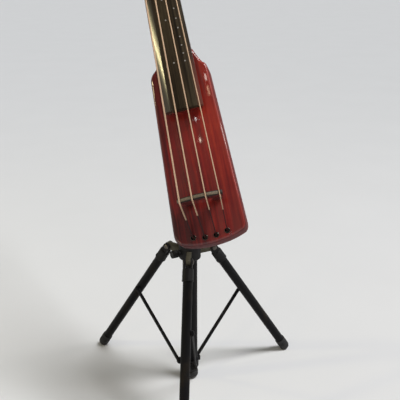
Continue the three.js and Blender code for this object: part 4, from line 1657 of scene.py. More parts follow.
@dataclass
class StringPlan:
    """Where the four strings run, and how thick they are."""

    names: tuple[str, ...] = ("e", "a", "d", "g")
    radii: tuple[float, ...] = (1.45, 1.25, 1.05, 0.9)
    shares: tuple[float, ...] = (-1 / 2, -1 / 6, 1 / 6, 1 / 2)
    silk: tuple[float, ...] = (-32, -30, -25, -28)
    length: float = LAYOUT.string_length
    bridge_spread: float = 73
    bridge_height: float = 45
    bridge_arch: float = 8
    bridge_thick: float = 7
    nut_spread: float = 28.8
    nut_height: float = 35.5
    nut_arch: float = 2
    nut_thick: float = LAYOUT.nut_thick
    tail_spread: float = 63
    tail_row: float = -66
    tail_rise: float = 3.5
    sink: float = 6
    sleeve_radius: float = 4.4
    sleeve_depth: float = 14
    post_across: float = 20
    post_rows: Point = (52, 124)
    post_radius: float = 5
    wind_rise: float = 12
    over: float = 2

    def bridge_top(self, across: float) -> float:
        """Returns the height of the bridge's arched top."""
        share = 2 * across / self.bridge_spread
        return self.bridge_height + self.bridge_arch * (1 - share * share)

    def nut_top(self, across: float) -> float:
        """Returns the height of the nut's arched top."""
        share = 2 * across / self.nut_spread
        return self.nut_height + self.nut_arch * (1 - share * share)

    def tail(self, index: int) -> Point:
        """Returns the place of a string's tail hole."""
        outside = index in (0, len(self.names) - 1)
        return self.shares[index] * self.tail_spread, self.tail_row + (self.tail_rise if outside else 0)

    def tail_frames(self) -> list[Matrix]:
        """Returns the frames of the tail holes."""
        return [Matrix.Translation((*self.tail(index), 0)) for index in range(len(self.names))]

    def across(self, index: float, along: float) -> float:
        """Returns how far across a string, or a half between two, is at a place along it."""
        share = self.shares[0] + index / (len(self.names) - 1)
        return share * (self.bridge_spread + (self.nut_spread - self.bridge_spread) * along / self.length)

    def post(self, index: int) -> Point:
        """Finds a string's tuner post on the peg head.

        Args:
            index: the string.

        Returns:
            The place of the post's axis.
        """
        near, far = self.post_rows
        places = ((-self.post_across, near), (-self.post_across, far), (self.post_across, far),
                  (self.post_across, near))
        return places[index]

    def post_frames(self) -> list[Matrix]:
        """Returns the frames of the tuner posts, in the peg head's frame."""
        return [Matrix.Translation((*self.post(index), 0)) for index in range(len(self.names))]


PLAN = StringPlan()


@dataclass(frozen=True)
class TailShares:
    """How one side of the tail is drawn, as shares of its half width and of its depth."""

    bow: float
    across: float
    drop: float
    ease: float = 0.3


@dataclass
class Body:
    """The slim solid body, with its electronics behind a cover in the back."""

    thick: float = LAYOUT.body_thick
    edge: float = 5
    flat_inset: float = 0.6
    tail_half: float = 67
    tail_end: float = -79
    tail_middle: float = -10
    tail_corner: float = -50
    shoulder_half: float = 56
    shoulder_rise: float = 248
    shoulder_taper: float = 55
    heel_half: float = 30
    treble_tail: TailShares = TailShares(0.45, 0.9, 0.55)
    bass_tail: TailShares = TailShares(0.55, 0.86, 0.72)
    treble_bow: float = 0.22
    treble_dip: Point = (0.86, 0.3)
    treble_waist: Point = (1.33, 0.56)
    treble_throat: Point = (1.18, 0.8)
    bass_bow: float = 0.2
    bass_hip: Point = (0.82, 0.35)
    bass_waist: Point = (0.6, 0.55)
    bay_low: Point = (-6, -38)
    bay_high: Point = (48, 62)
    bay_depth: float = 32
    cover_margin: float = 7
    cover_thick: float = 2.5
    cover_corner: float = 6
    pot_rise: float = 45
    pots: Point = (8, 34)
    pot_radius: float = 9
    pot_depth: float = 13
    pot_ridges: int = 20
    pot_ridge: float = 0.5
    pot_dish: float = 0.8
    pot_stem: float = 3
    pot_sink: float = 15
    jack: Point = (5, -24)
    jack_radius: float = 6.5
    jack_bore: float = 3.3
    jack_flange: float = 9.5
    jack_nut: float = 5.2
    mount: Point = (LAYOUT.mount_across, LAYOUT.mount_up)
    plate_size: Point = (44, 78)
    plate_corner: float = 9
    plate_thick: float = 6
    stud_radius: float = 6
    stud_reach: float = 17.65
    screw_rise: float = 29
    screw_head: float = 5.5
    screw_shank: float = 2.8
    screw_length: float = 26
    cover_screw: float = 2.4

    def build(self) -> None:
        """Builds and dresses the body and what is on its back."""
        local = LAYOUT.bass()
        deliver(self.slab(), "maple_body", local, StainedMaple(), "bass", "body")
        deliver(self.cover(), "cover_sheet", local, BLACK, "bass", "back_cover")
        deliver(self.cover_screws(), "cover_screws", local, BareSteel(), "bass")
        for node, across in zip(("volume", "tone"), self.pots):
            deliver(self.pot(across), f"{node}_grip", local, BLACK, node, f"{node}_knob")
        deliver(self.socket(), "jack_socket", local, BareSteel(), "bass", "output_jack")
        deliver(self.plate(), "swivel_plate", local, PowderCoat(), "bass", "mount_plate")
        rises = [Matrix.Translation((0, rise, 0)) for rise in (self.screw_rise, -self.screw_rise)]
        for word, screw in zip(("upper", "lower"), repeated(self.screw(), rises)):
            deliver(screw, f"plate_screw_{word}", local, BareSteel(), "bass", f"mount_screw_{word}")
        for node, finish in (("battery", BLACK), ("preamp_board", CircuitBoard())):
            bpy.data.objects[node].data.materials.clear()
            bpy.data.objects[node].data.materials.append(finish.material(local))

    def tail_side(self, start: float, shares: TailShares) -> list[Point]:
        """Returns one side of the tail, from its middle to the straight side, drawn to positive X.

        Args:
            start: where it starts across the tail's end.
            shares: how its curves are pulled.

        Returns:
            The points.
        """
        low = self.tail_corner + (self.tail_end - self.tail_corner) * shares.drop
        ease = low + (self.tail_corner - low) * shares.ease
        middle = (start, self.tail_end)
        turning = (self.tail_half * shares.across, low)
        side = (self.tail_half, self.tail_corner)
        return [middle, *bow(middle, (self.tail_half * shares.bow, self.tail_end), turning, 12),
                *bow(turning, (self.tail_half, ease), side, 8)]

    def shoulder(self, half: float, shares: Point) -> Point:
        """Returns a place on the shoulders from shares of a half width and of the taper."""
        return half * shares[0], self.shoulder_rise + self.shoulder_taper * shares[1]

    def outline(self) -> list[Point]:
        """Draws the outline, from the tail round the treble side to the neck and back.

        Returns:
            The outline's points.
        """
        half = self.shoulder_half
        heel = self.heel_half
        top = self.shoulder_rise + self.shoulder_taper
        dip = self.shoulder(half, self.treble_dip)
        throat = self.shoulder(heel, self.treble_throat)
        hip = self.shoulder(-half, self.bass_hip)
        bass_tail = [(-x, y) for x, y in self.tail_side(-self.tail_middle, self.bass_tail)]
        return [
            *self.tail_side(self.tail_middle, self.treble_tail),
            *bow((half, self.shoulder_rise), self.shoulder(half, (1, self.treble_bow)), dip, 8),
            *bow(dip, self.shoulder(heel, self.treble_waist), throat, 8),
            (heel, top),
            (-heel, top),
            *bow((-heel, top), self.shoulder(-half, self.bass_waist), hip, 8),
            *bow(hip, self.shoulder(-half, (1, self.bass_bow)), (-half, self.shoulder_rise), 8),
            *bass_tail[:0:-1],
        ]

    def slab(self) -> Piece:
        """Makes the body with round edges, the bay and the tail holes.

        Returns:
            The body.
        """
        piece = shifted(sheet(self.outline(), self.thick), 0, 0, -self.thick)
        round_rims(piece, self.edge, 7)
        # A narrow rim round each flat face keeps the shading flat next to the rounding
        with editing(piece) as mesh:
            flat = [index for index in caps(mesh) if mesh.faces[index].calc_area() > self.tail_half ** 2]
            select_faces(piece, mesh, flat)
            bpy.ops.mesh.inset(thickness=self.flat_inset)
        bay = slab((*self.bay_low, -self.thick - PLAN.over), (*self.bay_high, self.bay_depth - self.thick))
        radius, depth = PLAN.sleeve_radius + GAP, PLAN.sleeve_depth + GAP
        hole = turn([(radius, -depth), (radius, PLAN.over)], 32)
        cutters = [bay, *repeated(hole, PLAN.tail_frames())]
        return softened(cut_away(piece, *cutters), 0, sharp=30)

    def cover(self) -> Piece:
        """Makes the sheet that closes the bay.

        Returns:
            The cover.
        """
        width = self.bay_high[0] - self.bay_low[0] + 2 * self.cover_margin
        height = self.bay_high[1] - self.bay_low[1] + 2 * self.cover_margin
        plate = sheet(rounded_rectangle(width, height, self.cover_corner), self.cover_thick)
        middle = [(a + b) / 2 for a, b in zip(self.bay_low, self.bay_high)]
        return softened(shifted(plate, *middle, -self.thick - GAP - self.cover_thick), 0.5)

    def cover_screws(self) -> Piece:
        """Makes the four small screws at the cover's corners.

        Returns:
            The screws in one piece.
        """
        inset = self.cover_margin / 2
        back = -self.thick - GAP - self.cover_thick
        xs = (self.bay_low[0] - inset, self.bay_high[0] + inset)
        ys = (self.bay_low[1] - inset, self.bay_high[1] + inset)
        places = [Matrix.Translation((x, y, back)) for x in xs for y in ys]
        return joined(*repeated(slotted_head(self.cover_screw, 0.9), places))

    def cover_back(self) -> float:
        """Returns the depth at which the controls and the socket stand on the cover."""
        return -self.thick - self.cover_thick - 2 * GAP

    def pot(self, across: float) -> Piece:
        """Makes one control knob with its stem.

        Args:
            across: how far from the middle it stands.

        Returns:
            The knob.
        """
        back = self.cover_back()
        head = grip(self.pot_radius, self.pot_depth, self.pot_ridges, self.pot_ridge, self.pot_dish)
        shifted(moved(head, Matrix.Rotation(math.pi, 4, "X")), 0, 0, back)
        stem = softened(turn([(self.pot_stem, back - 2), (self.pot_stem, back + self.pot_sink)], 20), 0)
        return shifted(joined(head, stem), across, self.pot_rise, 0)

    def socket(self) -> Piece:
        """Makes the output socket with its flange, nut and bore.

        Returns:
            The socket.
        """
        back = self.cover_back()
        rings = [(self.jack_radius, back + 25.7), (self.jack_radius, back), (self.jack_flange, back),
                 (self.jack_flange, back - 1.6), (self.jack_flange - 0.4, back - 2),
                 (self.jack_nut, back - 2), (self.jack_nut - 0.6, back - 1.2),
                 (self.jack_bore, back - 1), (self.jack_bore, back + 21)]
        return shifted(softened(turn(rings, 40), 0), *self.jack, 0)

    def plate(self) -> Piece:
        """Makes the plate that swivels on the stand's head, with its stud.

        Returns:
            The plate.
        """
        back = -self.thick - GAP - self.plate_thick
        plate = sheet(rounded_rectangle(*self.plate_size, self.plate_corner), self.plate_thick)
        radius, reach = self.stud_radius, self.stud_reach
        stud = softened(turn([(radius - 1, -reach), (radius, 1.05 - reach), (radius, 1)], 32), 0)
        return shifted(joined(softened(plate, 1.0, 3), stud), *self.mount, back)

    def screw(self) -> Piece:
        """Makes one of the plate's screws, at the middle of the mount.

        Returns:
            The screw.
        """
        back = -self.thick - self.plate_thick - 2 * GAP
        head = shifted(slotted_head(self.screw_head, 4), 0, 0, back)
        radius = self.screw_shank
        shank = softened(turn([(radius, back), (radius, back + self.screw_length)], 20), 0)
        return shifted(joined(head, shank), *self.mount, 0)


@dataclass
class Neck:
    """The neck: a riser on the body, a shaft behind the board and the peg head."""

    riser_start: float = 174
    riser_half: float = 34
    riser_overlap: float = 2
    top: float = 18
    shaft_start: float = 303.3
    shaft_half: float = 32
    shaft_depth: float = 42
    nut_half: float = 22
    nut_depth: float = 21
    peg_length: float = 190
    peg_half: float = 38
    peg_flare: float = 46
    peg_tip_half: float = 22
    peg_thick: float = 18
    peg_edge: float = 3
    post_clearance: float = 0.35
    section_steps: int = 28
    # Powers below 1 fill the section out at its sides and at its back
    side_power: float = 0.8
    back_power: float = 0.72

    def build(self) -> None:
        """Builds and dresses the neck in one piece."""
        peg = LAYOUT.bass().inverted() @ LAYOUT.peg()
        whole = joined(self.shaft(), self.riser(), moved(self.peg_head(), peg))
        deliver(whole, "maple_neck", LAYOUT.bass(), StainedMaple(), "bass", "neck")

    def section(self) -> list[Point]:
        """Draws the shaft's section, flat on top and round behind.

        Returns:
            The section's points, as X and Z.
        """
        points = []
        for i in range(self.section_steps + 1):
            angle = math.pi * i / self.section_steps
            wide = abs(math.cos(angle)) ** self.side_power * math.copysign(1, math.cos(angle))
            deep = math.sin(angle) ** self.back_power
            points.append((self.shaft_half * wide, self.top - self.shaft_depth * deep))
        return points

    def shaft(self) -> Piece:
        """Makes the shaft, thinner and narrower towards the nut.

        Returns:
            The shaft.
        """
        end = PLAN.length + PLAN.nut_thick
        shaft = lengthwise(self.section(), self.shaft_start, end)
        shares = (self.nut_half / self.shaft_half, 1, self.nut_depth / self.shaft_depth)
        return softened(narrowed(shaft, shares, (0, end, self.top)), 0.4, 2, 50)

    def riser(self) -> Piece:
        """Makes the block that lifts the board off the body.

        Returns:
            The block.
        """
        low = (-self.riser_half, self.riser_start, GAP)
        block = slab(low, (self.riser_half, self.shaft_start + self.riser_overlap, self.top))
        return softened(block, 1.2, 3)

    def peg_head(self) -> Piece:
        """Makes the peg head with round edges.

        Returns:
            The peg head, in its own frame.
        """
        tip = self.peg_length - self.peg_flare / 3
        corner = self.peg_half * 0.92
        start = self.peg_thick / 2
        outline = [
            (-self.nut_half, -self.peg_thick),
            (self.nut_half, -self.peg_thick),
            (self.nut_half, start),
            *bow((self.nut_half, start), (self.peg_half, start), (self.peg_half, self.peg_flare), 8),
            (corner, tip),
            *bow((corner, tip), (self.peg_tip_half, tip), (0, self.peg_length), 8),
            *bow((0, self.peg_length), (-self.peg_tip_half, tip), (-corner, tip), 8),
            *bow((-self.peg_half, self.peg_flare), (-self.peg_half, start), (-self.nut_half, start), 8),
        ]
        piece = shifted(sheet(outline, self.peg_thick), 0, 0, -self.peg_thick)
        round_rims(piece, self.peg_edge, 4)
        slot = slab((-self.peg_half, -2 * self.peg_thick, 0.1), (self.peg_half, 0, self.peg_thick))
        bore = PLAN.post_radius + self.post_clearance
        hole = turn([(bore, -self.peg_thick - PLAN.over), (bore, PLAN.over)], 28)
        holes = repeated(hole, PLAN.post_frames())
        return softened(cut_away(piece, slot, *holes), 0, sharp=30)


@dataclass
class Board:
    """The fretless fingerboard with its bevel under the thickest string, its dots and the nut."""

    start: float = 170
    end_half: float = 37
    nut_half: float = 22.5
    bottom: float = 18.3
    side: float = 27
    crown: float = 34
    bevel_start: float = -23
    bevel_edge: float = 28.5
    dot_radius: float = 1.4
    treble_between: float = 2.5
    middle_between: float = 1.5
    treble_dots: tuple[int, ...] = (12, 18, 19, 20, 21, 22, 23, 24)
    middle_dots: tuple[int, ...] = (3, 5, 7, 9, 12, 15, 17, 19, 24)

    def build(self) -> None:
        """Builds and dresses the board, its dots and the nut."""
        local = LAYOUT.bass()
        deliver(self.board(), "ebony_board", local, StreakedEbony(), "bass", "fingerboard")
        deliver(self.dots(), "board_dots", local, PEARL, "bass")
        deliver(self.nut(), "bone_nut", local, BONE, "bass", "nut")

    def crown_points(self, steps: int) -> list[Point]:
        """Returns the arched top of the section, from the treble edge to the bevel."""
        start = (self.end_half, self.side)
        return [start, *bow(start, (self.end_half / 2, self.crown), (self.bevel_start, self.crown), steps)]

    def height(self, across: float, along: float) -> Point:
        """Returns the board's height at a place, and its slope there.

        Args:
            across: the distance from the middle.
            along: the distance from the bridge.

        Returns:
            The height and the slope.
        """
        wide = across / self.width_share(along)
        points = self.crown_points(40)
        for (x0, z0), (x1, z1) in pairwise(points):
            if x1 <= wide <= x0:
                slope = (z1 - z0) / (x1 - x0)
                return z0 + (wide - x0) * slope, slope
        return self.crown, 0.0

    def width_share(self, along: float) -> float:
        """Returns how wide the board is at a place, as a share of its width at its end."""
        share = (along - self.start) / (PLAN.length - self.start)
        return 1 + share * (self.nut_half / self.end_half - 1)

    def board(self) -> Piece:
        """Makes the board, narrowed towards the nut.

        Returns:
            The board.
        """
        outline = [(-self.end_half, self.bottom), (self.end_half, self.bottom), *self.crown_points(16),
                   (-self.end_half, self.bevel_edge)]
        end = PLAN.length - GAP
        board = lengthwise(outline, self.start, end)
        narrowed(board, (self.width_share(end), 1, 1), (0, end, self.bottom))
        return softened(board, 0.5, 2, 20)

    def dots(self) -> Piece:
        """Makes the position dots between the middle and between the treble strings.

        Returns:
            The dots in one piece.
        """
        marks = [(self.treble_between, step) for step in self.treble_dots]
        marks += [(self.middle_between, step) for step in self.middle_dots]
        places = []
        for between, step in marks:
            along = PLAN.length * 2 ** (-step / 12)
            across = PLAN.across(between, along)
            height, slope = self.height(across, along)
            tilt = Matrix.Rotation(-math.atan(slope), 4, "Y")
            places.append(Matrix.Translation((across, along, height)) @ tilt)
        disc = turn([(self.dot_radius, -0.8), (self.dot_radius, 0.03), (self.dot_radius * 0.8, 0.16)], 20)
        return softened(joined(*repeated(disc, places)), 0)

    def nut(self) -> Piece:
        """Makes the nut, arched under the strings.

        Returns:
            The nut.
        """
        half = self.nut_half
        reach = PLAN.nut_spread / 2
        wide = reach * 1.1
        arch = [(x, PLAN.nut_top(x)) for x in (reach - 2 * reach * i / 12 for i in range(13))]
        outline = [(-half, self.bottom), (half, self.bottom), (half, self.side), (wide, PLAN.nut_height),
                   *arch, (-wide, PLAN.nut_height), (-half, self.side)]
        return softened(lengthwise(outline, PLAN.length, PLAN.length + PLAN.nut_thick - GAP), 0.5)


@dataclass
class Bridge:
    """The slim arched bridge on two legs."""

    half: float = 41.5
    thick: float = PLAN.bridge_thick
    bar: float = 15
    leg_outer: float = 34
    leg_inner: float = 19
    waist: float = 22
    crown: float = 29
    notch: float = 0.6
    notch_half: float = 1.2

    def build(self) -> None:
        """Builds and dresses the bridge."""
        deliver(self.shape(), "arched_bridge", LAYOUT.bass(), BridgeWood(), "bass", "bridge")

    def top_points(self) -> list[Point]:
        """Draws the arched top from the bass end to the treble end, with its string notches.

        Returns:
            The top's points.
        """
        notches = [share * PLAN.bridge_spread for share in PLAN.shares]
        places = {-self.half + 2 * self.half * i / 24: 0.0 for i in range(25)}
        for notch in notches:
            for side in (-self.notch_half, self.notch_half):
                places.update({notch + side: self.notch, notch + 2 * side: 0.0})
        return [(x, PLAN.bridge_top(x) - depth) for x, depth in sorted(places.items())]

    def shape(self) -> Piece:
        """Makes the bridge from a flat outline.

        Returns:
            The bridge.
        """
        shoulder = PLAN.bridge_top(self.half) - self.bar
        top = 2 * self.crown - self.waist
        arch = bow((self.leg_inner, self.waist), (0, top), (-self.leg_inner, self.waist), 14)
        middle = (self.leg_outer + 3, shoulder - 2)
        flank = bow((self.half, shoulder), middle, (self.leg_outer, self.waist), 5)
        outline = [
            *self.top_points(),
            *flank,
            (self.leg_outer, GAP),
            (self.leg_inner, GAP),
            (self.leg_inner, self.waist),
            *arch,
            (-self.leg_inner, GAP),
            (-self.leg_outer, GAP),
            *[(-x, y) for x, y in reversed(flank)],
        ]
        return softened(lengthwise(outline, -self.thick / 2, self.thick / 2), 0.5, 2, 50)


@dataclass
class Strings:
    """The four wound strings with the ferrules that they leave the body through."""

    turns: float = 2.5
    rim: float = 5.2
    throat: float = 3.3
    wind_steps: int = 40
    wind_pitch: float = 2.05

    def build(self) -> None:
        """Builds and dresses each string and its ferrule."""
        local = LAYOUT.bass()
        ferrules = repeated(self.ferrule(), PLAN.tail_frames())
        for index, (name, ferrule) in enumerate(zip(PLAN.names, ferrules)):
            wound = WoundString(silk_below=PLAN.silk[index])
            line = softened(drawn(self.path(index), False, PLAN.radii[index]), 0, sharp=60)
            deliver(line, f"wound_string_{name}", local, wound, "bass", f"string_{name}")
            deliver(ferrule, f"string_ferrule_{name}", local, BurntSteel(), "bass", f"tail_ferrule_{name}")

    def ferrule(self) -> Piece:
        """Makes a ferrule with a thin rim round a funnel that leads into its bore.

        Returns:
            The ferrule.
        """
        rings = [(PLAN.sleeve_radius, -PLAN.sleeve_depth), (PLAN.sleeve_radius, GAP), (self.rim, GAP),
                 (self.rim, 0.6), (self.rim - 0.3, 0.8), (self.throat, -3), (self.throat, -10)]
        return softened(turn(rings, 32), 0, sharp=50)

    def path(self, index: int) -> list[Vector]:
        """Finds the places that a string passes, from its tail hole to its post.

        Args:
            index: the string.

        Returns:
            The places in order.
        """
        radius = PLAN.radii[index]
        tail = PLAN.tail(index)
        bridge = PLAN.shares[index] * PLAN.bridge_spread
        nut = PLAN.shares[index] * PLAN.nut_spread
        places = [
            Vector((*tail, -PLAN.sink)),
            Vector((*tail, radius)),
            Vector((bridge, -PLAN.bridge_thick / 2 - radius, PLAN.bridge_top(bridge) + GAP + radius)),
            Vector((nut, PLAN.length + PLAN.nut_thick, PLAN.nut_top(nut) + GAP + radius)),
        ]
        peg = LAYOUT.bass().inverted() @ LAYOUT.peg()
        x, y = PLAN.post(index)
        reach = PLAN.post_radius + GAP + radius
        inside = -math.copysign(1, x)
        for i in range(self.wind_steps + 1):
            angle = self.turns * math.tau * i / self.wind_steps
            drop = radius * self.wind_pitch * angle / math.tau
            around = (x + inside * reach * math.cos(angle), y + reach * math.sin(angle),
                      PLAN.wind_rise + radius - drop)
            places.append(peg @ Vector(around))
        return places


@dataclass
class Tuners:
    """The four worm tuners on two plates behind the peg head."""

    rows: Point = PLAN.post_rows
    across: float = PLAN.post_across
    peg_thick: float = Neck.peg_thick
    plate_thick: float = 2.5
    plate_half: float = 13
    plate_margin: float = 26
    plate_corner: float = 3
    plate_screw: float = 2.6
    wheel_radius: float = 11
    wheel_thick: float = 6
    teeth: int = 12
    worm_radius: float = 3.5
    worm_inner: float = 5
    worm_outer: float = 50
    thread_start: float = 13
    thread_end: float = 30
    thread_pitch: float = 1.7
    ear_half: float = 5
    ear_thick: float = 4
    ear_depth: float = 9.5
    ears: Point = (8, 32)
    post_radius: float = PLAN.post_radius
    post_rise: float = 24
    key_half: Point = (13, 10)
    key_thick: float = 6
    key_waist: float = 0.12
    clearance: float = 0.6
    play: float = 0.7

    def __post_init__(self) -> None:
        """Works out the depths that the gears lie at."""
        self.plate_back = -self.peg_thick - GAP - self.plate_thick
        self.wheel_top = self.plate_back - self.clearance
        self.worm_depth = self.wheel_top - self.wheel_thick / 2
        self.worm_row = self.wheel_radius + self.worm_radius + self.play

    def build(self) -> None:
        """Builds and dresses plates, posts and keys."""
        local = LAYOUT.peg()
        brass = TunerBrass()
        for side, word in ((-1, "bass"), (1, "treble")):
            deliver(self.plate(side), f"tuner_sheet_{word}", local, brass, "bass", f"tuner_plate_{word}")
        places = [PLAN.post(index) for index in range(len(PLAN.names))]
        posts = repeated(self.post(), PLAN.post_frames())
        outs = [Matrix.Rotation(0 if x > 0 else math.pi, 4, "Z") for x, _ in places]
        rows = [Matrix.Translation((0, y + self.worm_row, self.worm_depth)) for _, y in places]
        keys = repeated(self.key(), [row @ out for row, out in zip(rows, outs)])
        for name, post, key in zip(PLAN.names, posts, keys):
            deliver(post, f"tuner_gear_{name}", local, brass, f"post_{name}", f"tuner_post_{name}")
            deliver(key, f"tuner_leaf_{name}", local, brass, f"key_{name}", f"tuner_key_{name}")

    def plate(self, side: int) -> Piece:
        """Makes one plate with the ears that hold its worms, and its screws.

        Args:
            side: -1 for the bass side and 1 for the treble side.

        Returns:
            The plate.
        """
        length = self.rows[1] - self.rows[0] + 2 * self.plate_margin
        middle = sum(self.rows) / 2
        plate = sheet(rounded_rectangle(2 * self.plate_half, length, self.plate_corner), self.plate_thick)
        parts = [softened(shifted(plate, side * self.across, middle, self.plate_back), 0.4)]
        for row in self.rows:
            worm = row + self.worm_row
            for ear in self.ears:
                low, high = sorted((side * ear, side * (ear + self.ear_thick)))
                block = slab((low, worm - self.ear_half, self.plate_back - self.ear_depth),
                             (high, worm + self.ear_half, self.plate_back + GAP))
                parts.append(softened(block, 1.4, 3))
        ends = [Matrix.Translation((side * self.across, middle + end * (length / 2 - 5), self.plate_back))
                for end in (-1, 1)]
        return joined(*parts, *repeated(slotted_head(self.plate_screw, 1.2), ends))

    def post(self) -> Piece:
        """Makes a post with a waist for its string and a toothed wheel at its foot.

        Returns:
            The post.
        """
        low = self.wheel_top - self.wheel_thick
        waist = PLAN.wind_rise
        rings = [(self.post_radius, low), (self.post_radius, waist + 4), (self.post_radius - 0.5, waist + 5),
                 (self.post_radius - 0.5, self.post_rise - 4), (self.post_radius, self.post_rise - 3),
                 (self.post_radius, self.post_rise - 1), (self.post_radius - 1, self.post_rise)]
        wheel = grip(self.wheel_radius, self.wheel_thick, 2 * self.teeth, 0.8)
        return joined(softened(turn(rings, 32), 0), shifted(wheel, 0, 0, low))

    def key(self) -> Piece:
        """Makes a worm shaft with a threaded middle and a flat leaf to turn it by.

        Returns:
            The key.
        """
        crest = self.worm_radius
        shank, root = crest * 0.9, crest * 0.74
        rings = [(crest * 0.7, self.worm_inner), (shank, self.worm_inner + 1), (shank, self.thread_start)]
        for i in range(int((self.thread_end - self.thread_start) / self.thread_pitch)):
            place = self.thread_start + i * self.thread_pitch
            rings += [(crest, place + 0.3), (crest, place + 0.8), (root, place + 1.2), (root, place + 1.5)]
        rings += [(shank, self.thread_end + 1), (shank, self.worm_outer)]
        shaft = along_x(softened(turn(rings, 28), 0, sharp=50))
        middle = self.worm_outer + self.key_half[0] - 2
        steps = 36
        outline = []
        for i in range(steps):
            angle = math.tau * i / steps
            up = self.key_half[1] * math.sin(angle) / (1 + self.key_waist * math.cos(2 * angle))
            outline.append((middle + self.key_half[0] * math.cos(angle), up))
        leaf = shifted(sheet(outline, self.key_thick), 0, 0, -self.key_thick / 2)
        return joined(shaft, softened(leaf, self.key_thick * 0.42, 4, 60))


# Studio


@dataclass(frozen=True)
class Lamp:
    """One area lamp aimed at a place on the bass, both in millimetres in the stand's frame."""

    name: str
    place: Place
    aim: Place
    size: Point
    power: float
    colour: Colour = (1.0, 1.0, 1.0)
    roll: float = 0.0

    def hang(self) -> None:
        """Adds the lamp."""
        data = bpy.data.lights.new(self.name, "AREA")
        data.shape = "RECTANGLE"
        data.size, data.size_y = (side * MM for side in self.size)
        data.energy = self.power
        data.color = self.colour
        lamp = bpy.data.objects.new(self.name, data)
        lamp.location = LAYOUT.stand() @ Vector(self.place)
        direction = Vector(self.aim) - Vector(self.place)
        rolled = Matrix.Rotation(math.radians(self.roll), 3, "Z")
        lamp.rotation_euler = (direction.to_track_quat("-Z", "Y").to_matrix() @ rolled).to_euler()
        bpy.context.scene.collection.objects.link(lamp)


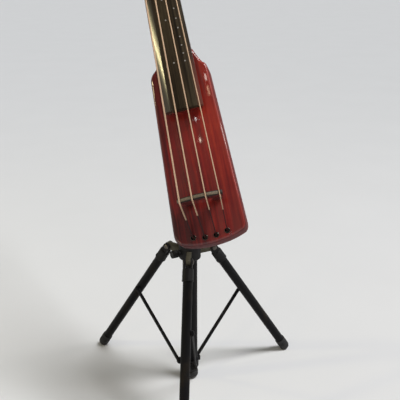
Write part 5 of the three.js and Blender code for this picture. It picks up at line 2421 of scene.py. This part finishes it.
@dataclass
class Studio:
    """The camera, a pale floor, a soft sky and the lamps."""

    camera_at: Place = (21.3, -1364.4, 915.2)
    camera_pitch: float = math.radians(70)
    focal_pixels: float = 712
    picture_pixels: float = 400
    sensor: float = 36
    floor_radius: float = 40
    floor_colour: Colour = (0.70, 0.71, 0.72)
    floor_shade: float = 0.96
    floor_grain: Grain = (0.004, 0.004, 0.004)
    sky_colour: Colour = (0.98, 0.99, 1.0)
    sky_strength: Span = (0.62, 0.17)
    sky_change: Span = (0.10, 0.45)
    sun_from: Place = (0.42, -0.10, 0.90)
    sun_strength: float = 2.5
    sun_width: float = math.radians(22)
    # The first four draw the highlights along bevel and edges, the others small glints in the lacquer
    lamps: tuple[Lamp, ...] = (
        Lamp("bevel", (-2078, -393, 1512), (-100, 100, 900), (170, 170), 8, (1.0, 0.88, 0.48)),
        Lamp("warm_strip", (-1100, -1700, 900), (0, 0, 300), (100, 1200), 3, (1.0, 0.80, 0.52)),
        Lamp("edge_high", (1890, 36, 1824), (50, 0, 600), (1000, 140), 6.6, (1.0, 0.95, 0.9), -37),
        Lamp("edge_low", (1960, -110, 1660), (50, 0, 600), (700, 300), 2.6, (1.0, 0.85, 0.85), -37),
        Lamp("glint_upper", (-756, -1425, 2162), (0, 0, 650), (8, 24), 0.014, (1, 1, 1), 27),
        Lamp("glint_lower", (-740, -1500, 2080), (0, 0, 620), (8, 24), 0.014, (1.0, 0.88, 0.70), 27),
        Lamp("shoulder_high", (-692, -1300, 2313), (0, 0, 700), (7, 33), 0.014, (1.0, 0.9, 0.8), 27),
        Lamp("shoulder_low", (-683, -1345, 2264), (0, 0, 700), (7, 45), 0.012, (1.0, 0.72, 0.45), 27),
        Lamp("glint_tail", (-610, -1830, 1720), (50, 0, 500), (14, 14), 0.020),
    )

    def build(self) -> None:
        """Sets up camera, floor, sky, sun and lamps."""
        self.camera()
        self.floor()
        self.sky()
        self.sun()
        for lamp in self.lamps:
            lamp.hang()
        bpy.context.scene.view_settings.view_transform = "Standard"

    def camera(self) -> None:
        """Adds the camera where the photograph was taken from."""
        data = bpy.data.cameras.new("camera")
        data.sensor_width = self.sensor
        data.lens = self.focal_pixels * self.sensor / self.picture_pixels
        camera = bpy.data.objects.new("camera", data)
        camera.location = LAYOUT.stand() @ Vector(self.camera_at)
        camera.rotation_euler = (self.camera_pitch, 0, 0)
        bpy.context.scene.collection.objects.link(camera)
        bpy.context.scene.camera = camera

    def floor(self) -> None:
        """Adds a wide pale floor with a faint mottle."""
        clear_selection()
        bpy.ops.mesh.primitive_circle_add(vertices=96, radius=self.floor_radius, fill_type="NGON")
        floor = bpy.context.object
        floor.name = "studio_floor"
        graph = Graph("floor_paper", Matrix.Scale(MM, 4))
        mottle = graph.noise(self.floor_grain, 2.0)
        shade = tuple(value * self.floor_shade for value in self.floor_colour)
        colour = graph.mix(mottle, self.floor_colour, shade)
        graph.surface(Base_Color=colour, Roughness=0.85, Specular_IOR_Level=0.1)
        floor.data.materials.append(graph.material)

    def sky(self) -> None:
        """Lights the scene softly from all round, bright at the horizon and dim overhead."""
        world = bpy.data.worlds.new("studio")
        world.use_nodes = True
        tree = world.node_tree
        background = tree.nodes["Background"]
        background.inputs["Color"].default_value = (*self.sky_colour, 1)
        direction = tree.nodes.new("ShaderNodeTexCoord")
        parts = tree.nodes.new("ShaderNodeSeparateXYZ")
        strength = tree.nodes.new("ShaderNodeMapRange")
        strength.interpolation_type = "SMOOTHSTEP"
        values = (*self.sky_change, *self.sky_strength)
        for name, value in zip(("From Min", "From Max", "To Min", "To Max"), values):
            strength.inputs[name].default_value = value
        tree.links.new(direction.outputs["Generated"], parts.inputs[0])
        tree.links.new(parts.outputs["Z"], strength.inputs["Value"])
        tree.links.new(strength.outputs[0], background.inputs["Strength"])
        bpy.context.scene.world = world

    def sun(self) -> None:
        """Adds one wide soft light from overhead, the same at every distance."""
        data = bpy.data.lights.new("overhead", "SUN")
        data.energy = self.sun_strength
        data.angle = self.sun_width
        sun = bpy.data.objects.new("overhead", data)
        sun.rotation_euler = Vector(self.sun_from).to_track_quat("Z", "Y").to_euler()
        bpy.context.scene.collection.objects.link(sun)


def main() -> None:
    """Builds the studio, the stand and the bass, in order."""
    logging.basicConfig(level=logging.INFO, format="%(message)s")
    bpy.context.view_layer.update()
    hub, column, mast = Hub(), Column(), Mast()
    hub_lock = LockScrew("hub_lock_knob", "hub_lock", hub.height, hub.lock_turn, column.radius)
    height_lock = LockScrew("height_lock_knob", "height_lock", column.clamp_middle(), column.clamp_turn,
                            mast.tube_radius)
    stand = (column, hub, hub_lock, height_lock, TripodLegs(), mast)
    bass = (Body(), Neck(), Board(), Bridge(), Strings(), Tuners())
    for part in (Studio(), *stand, *bass):
        part.build()


if __name__ == "__main__":
    main()
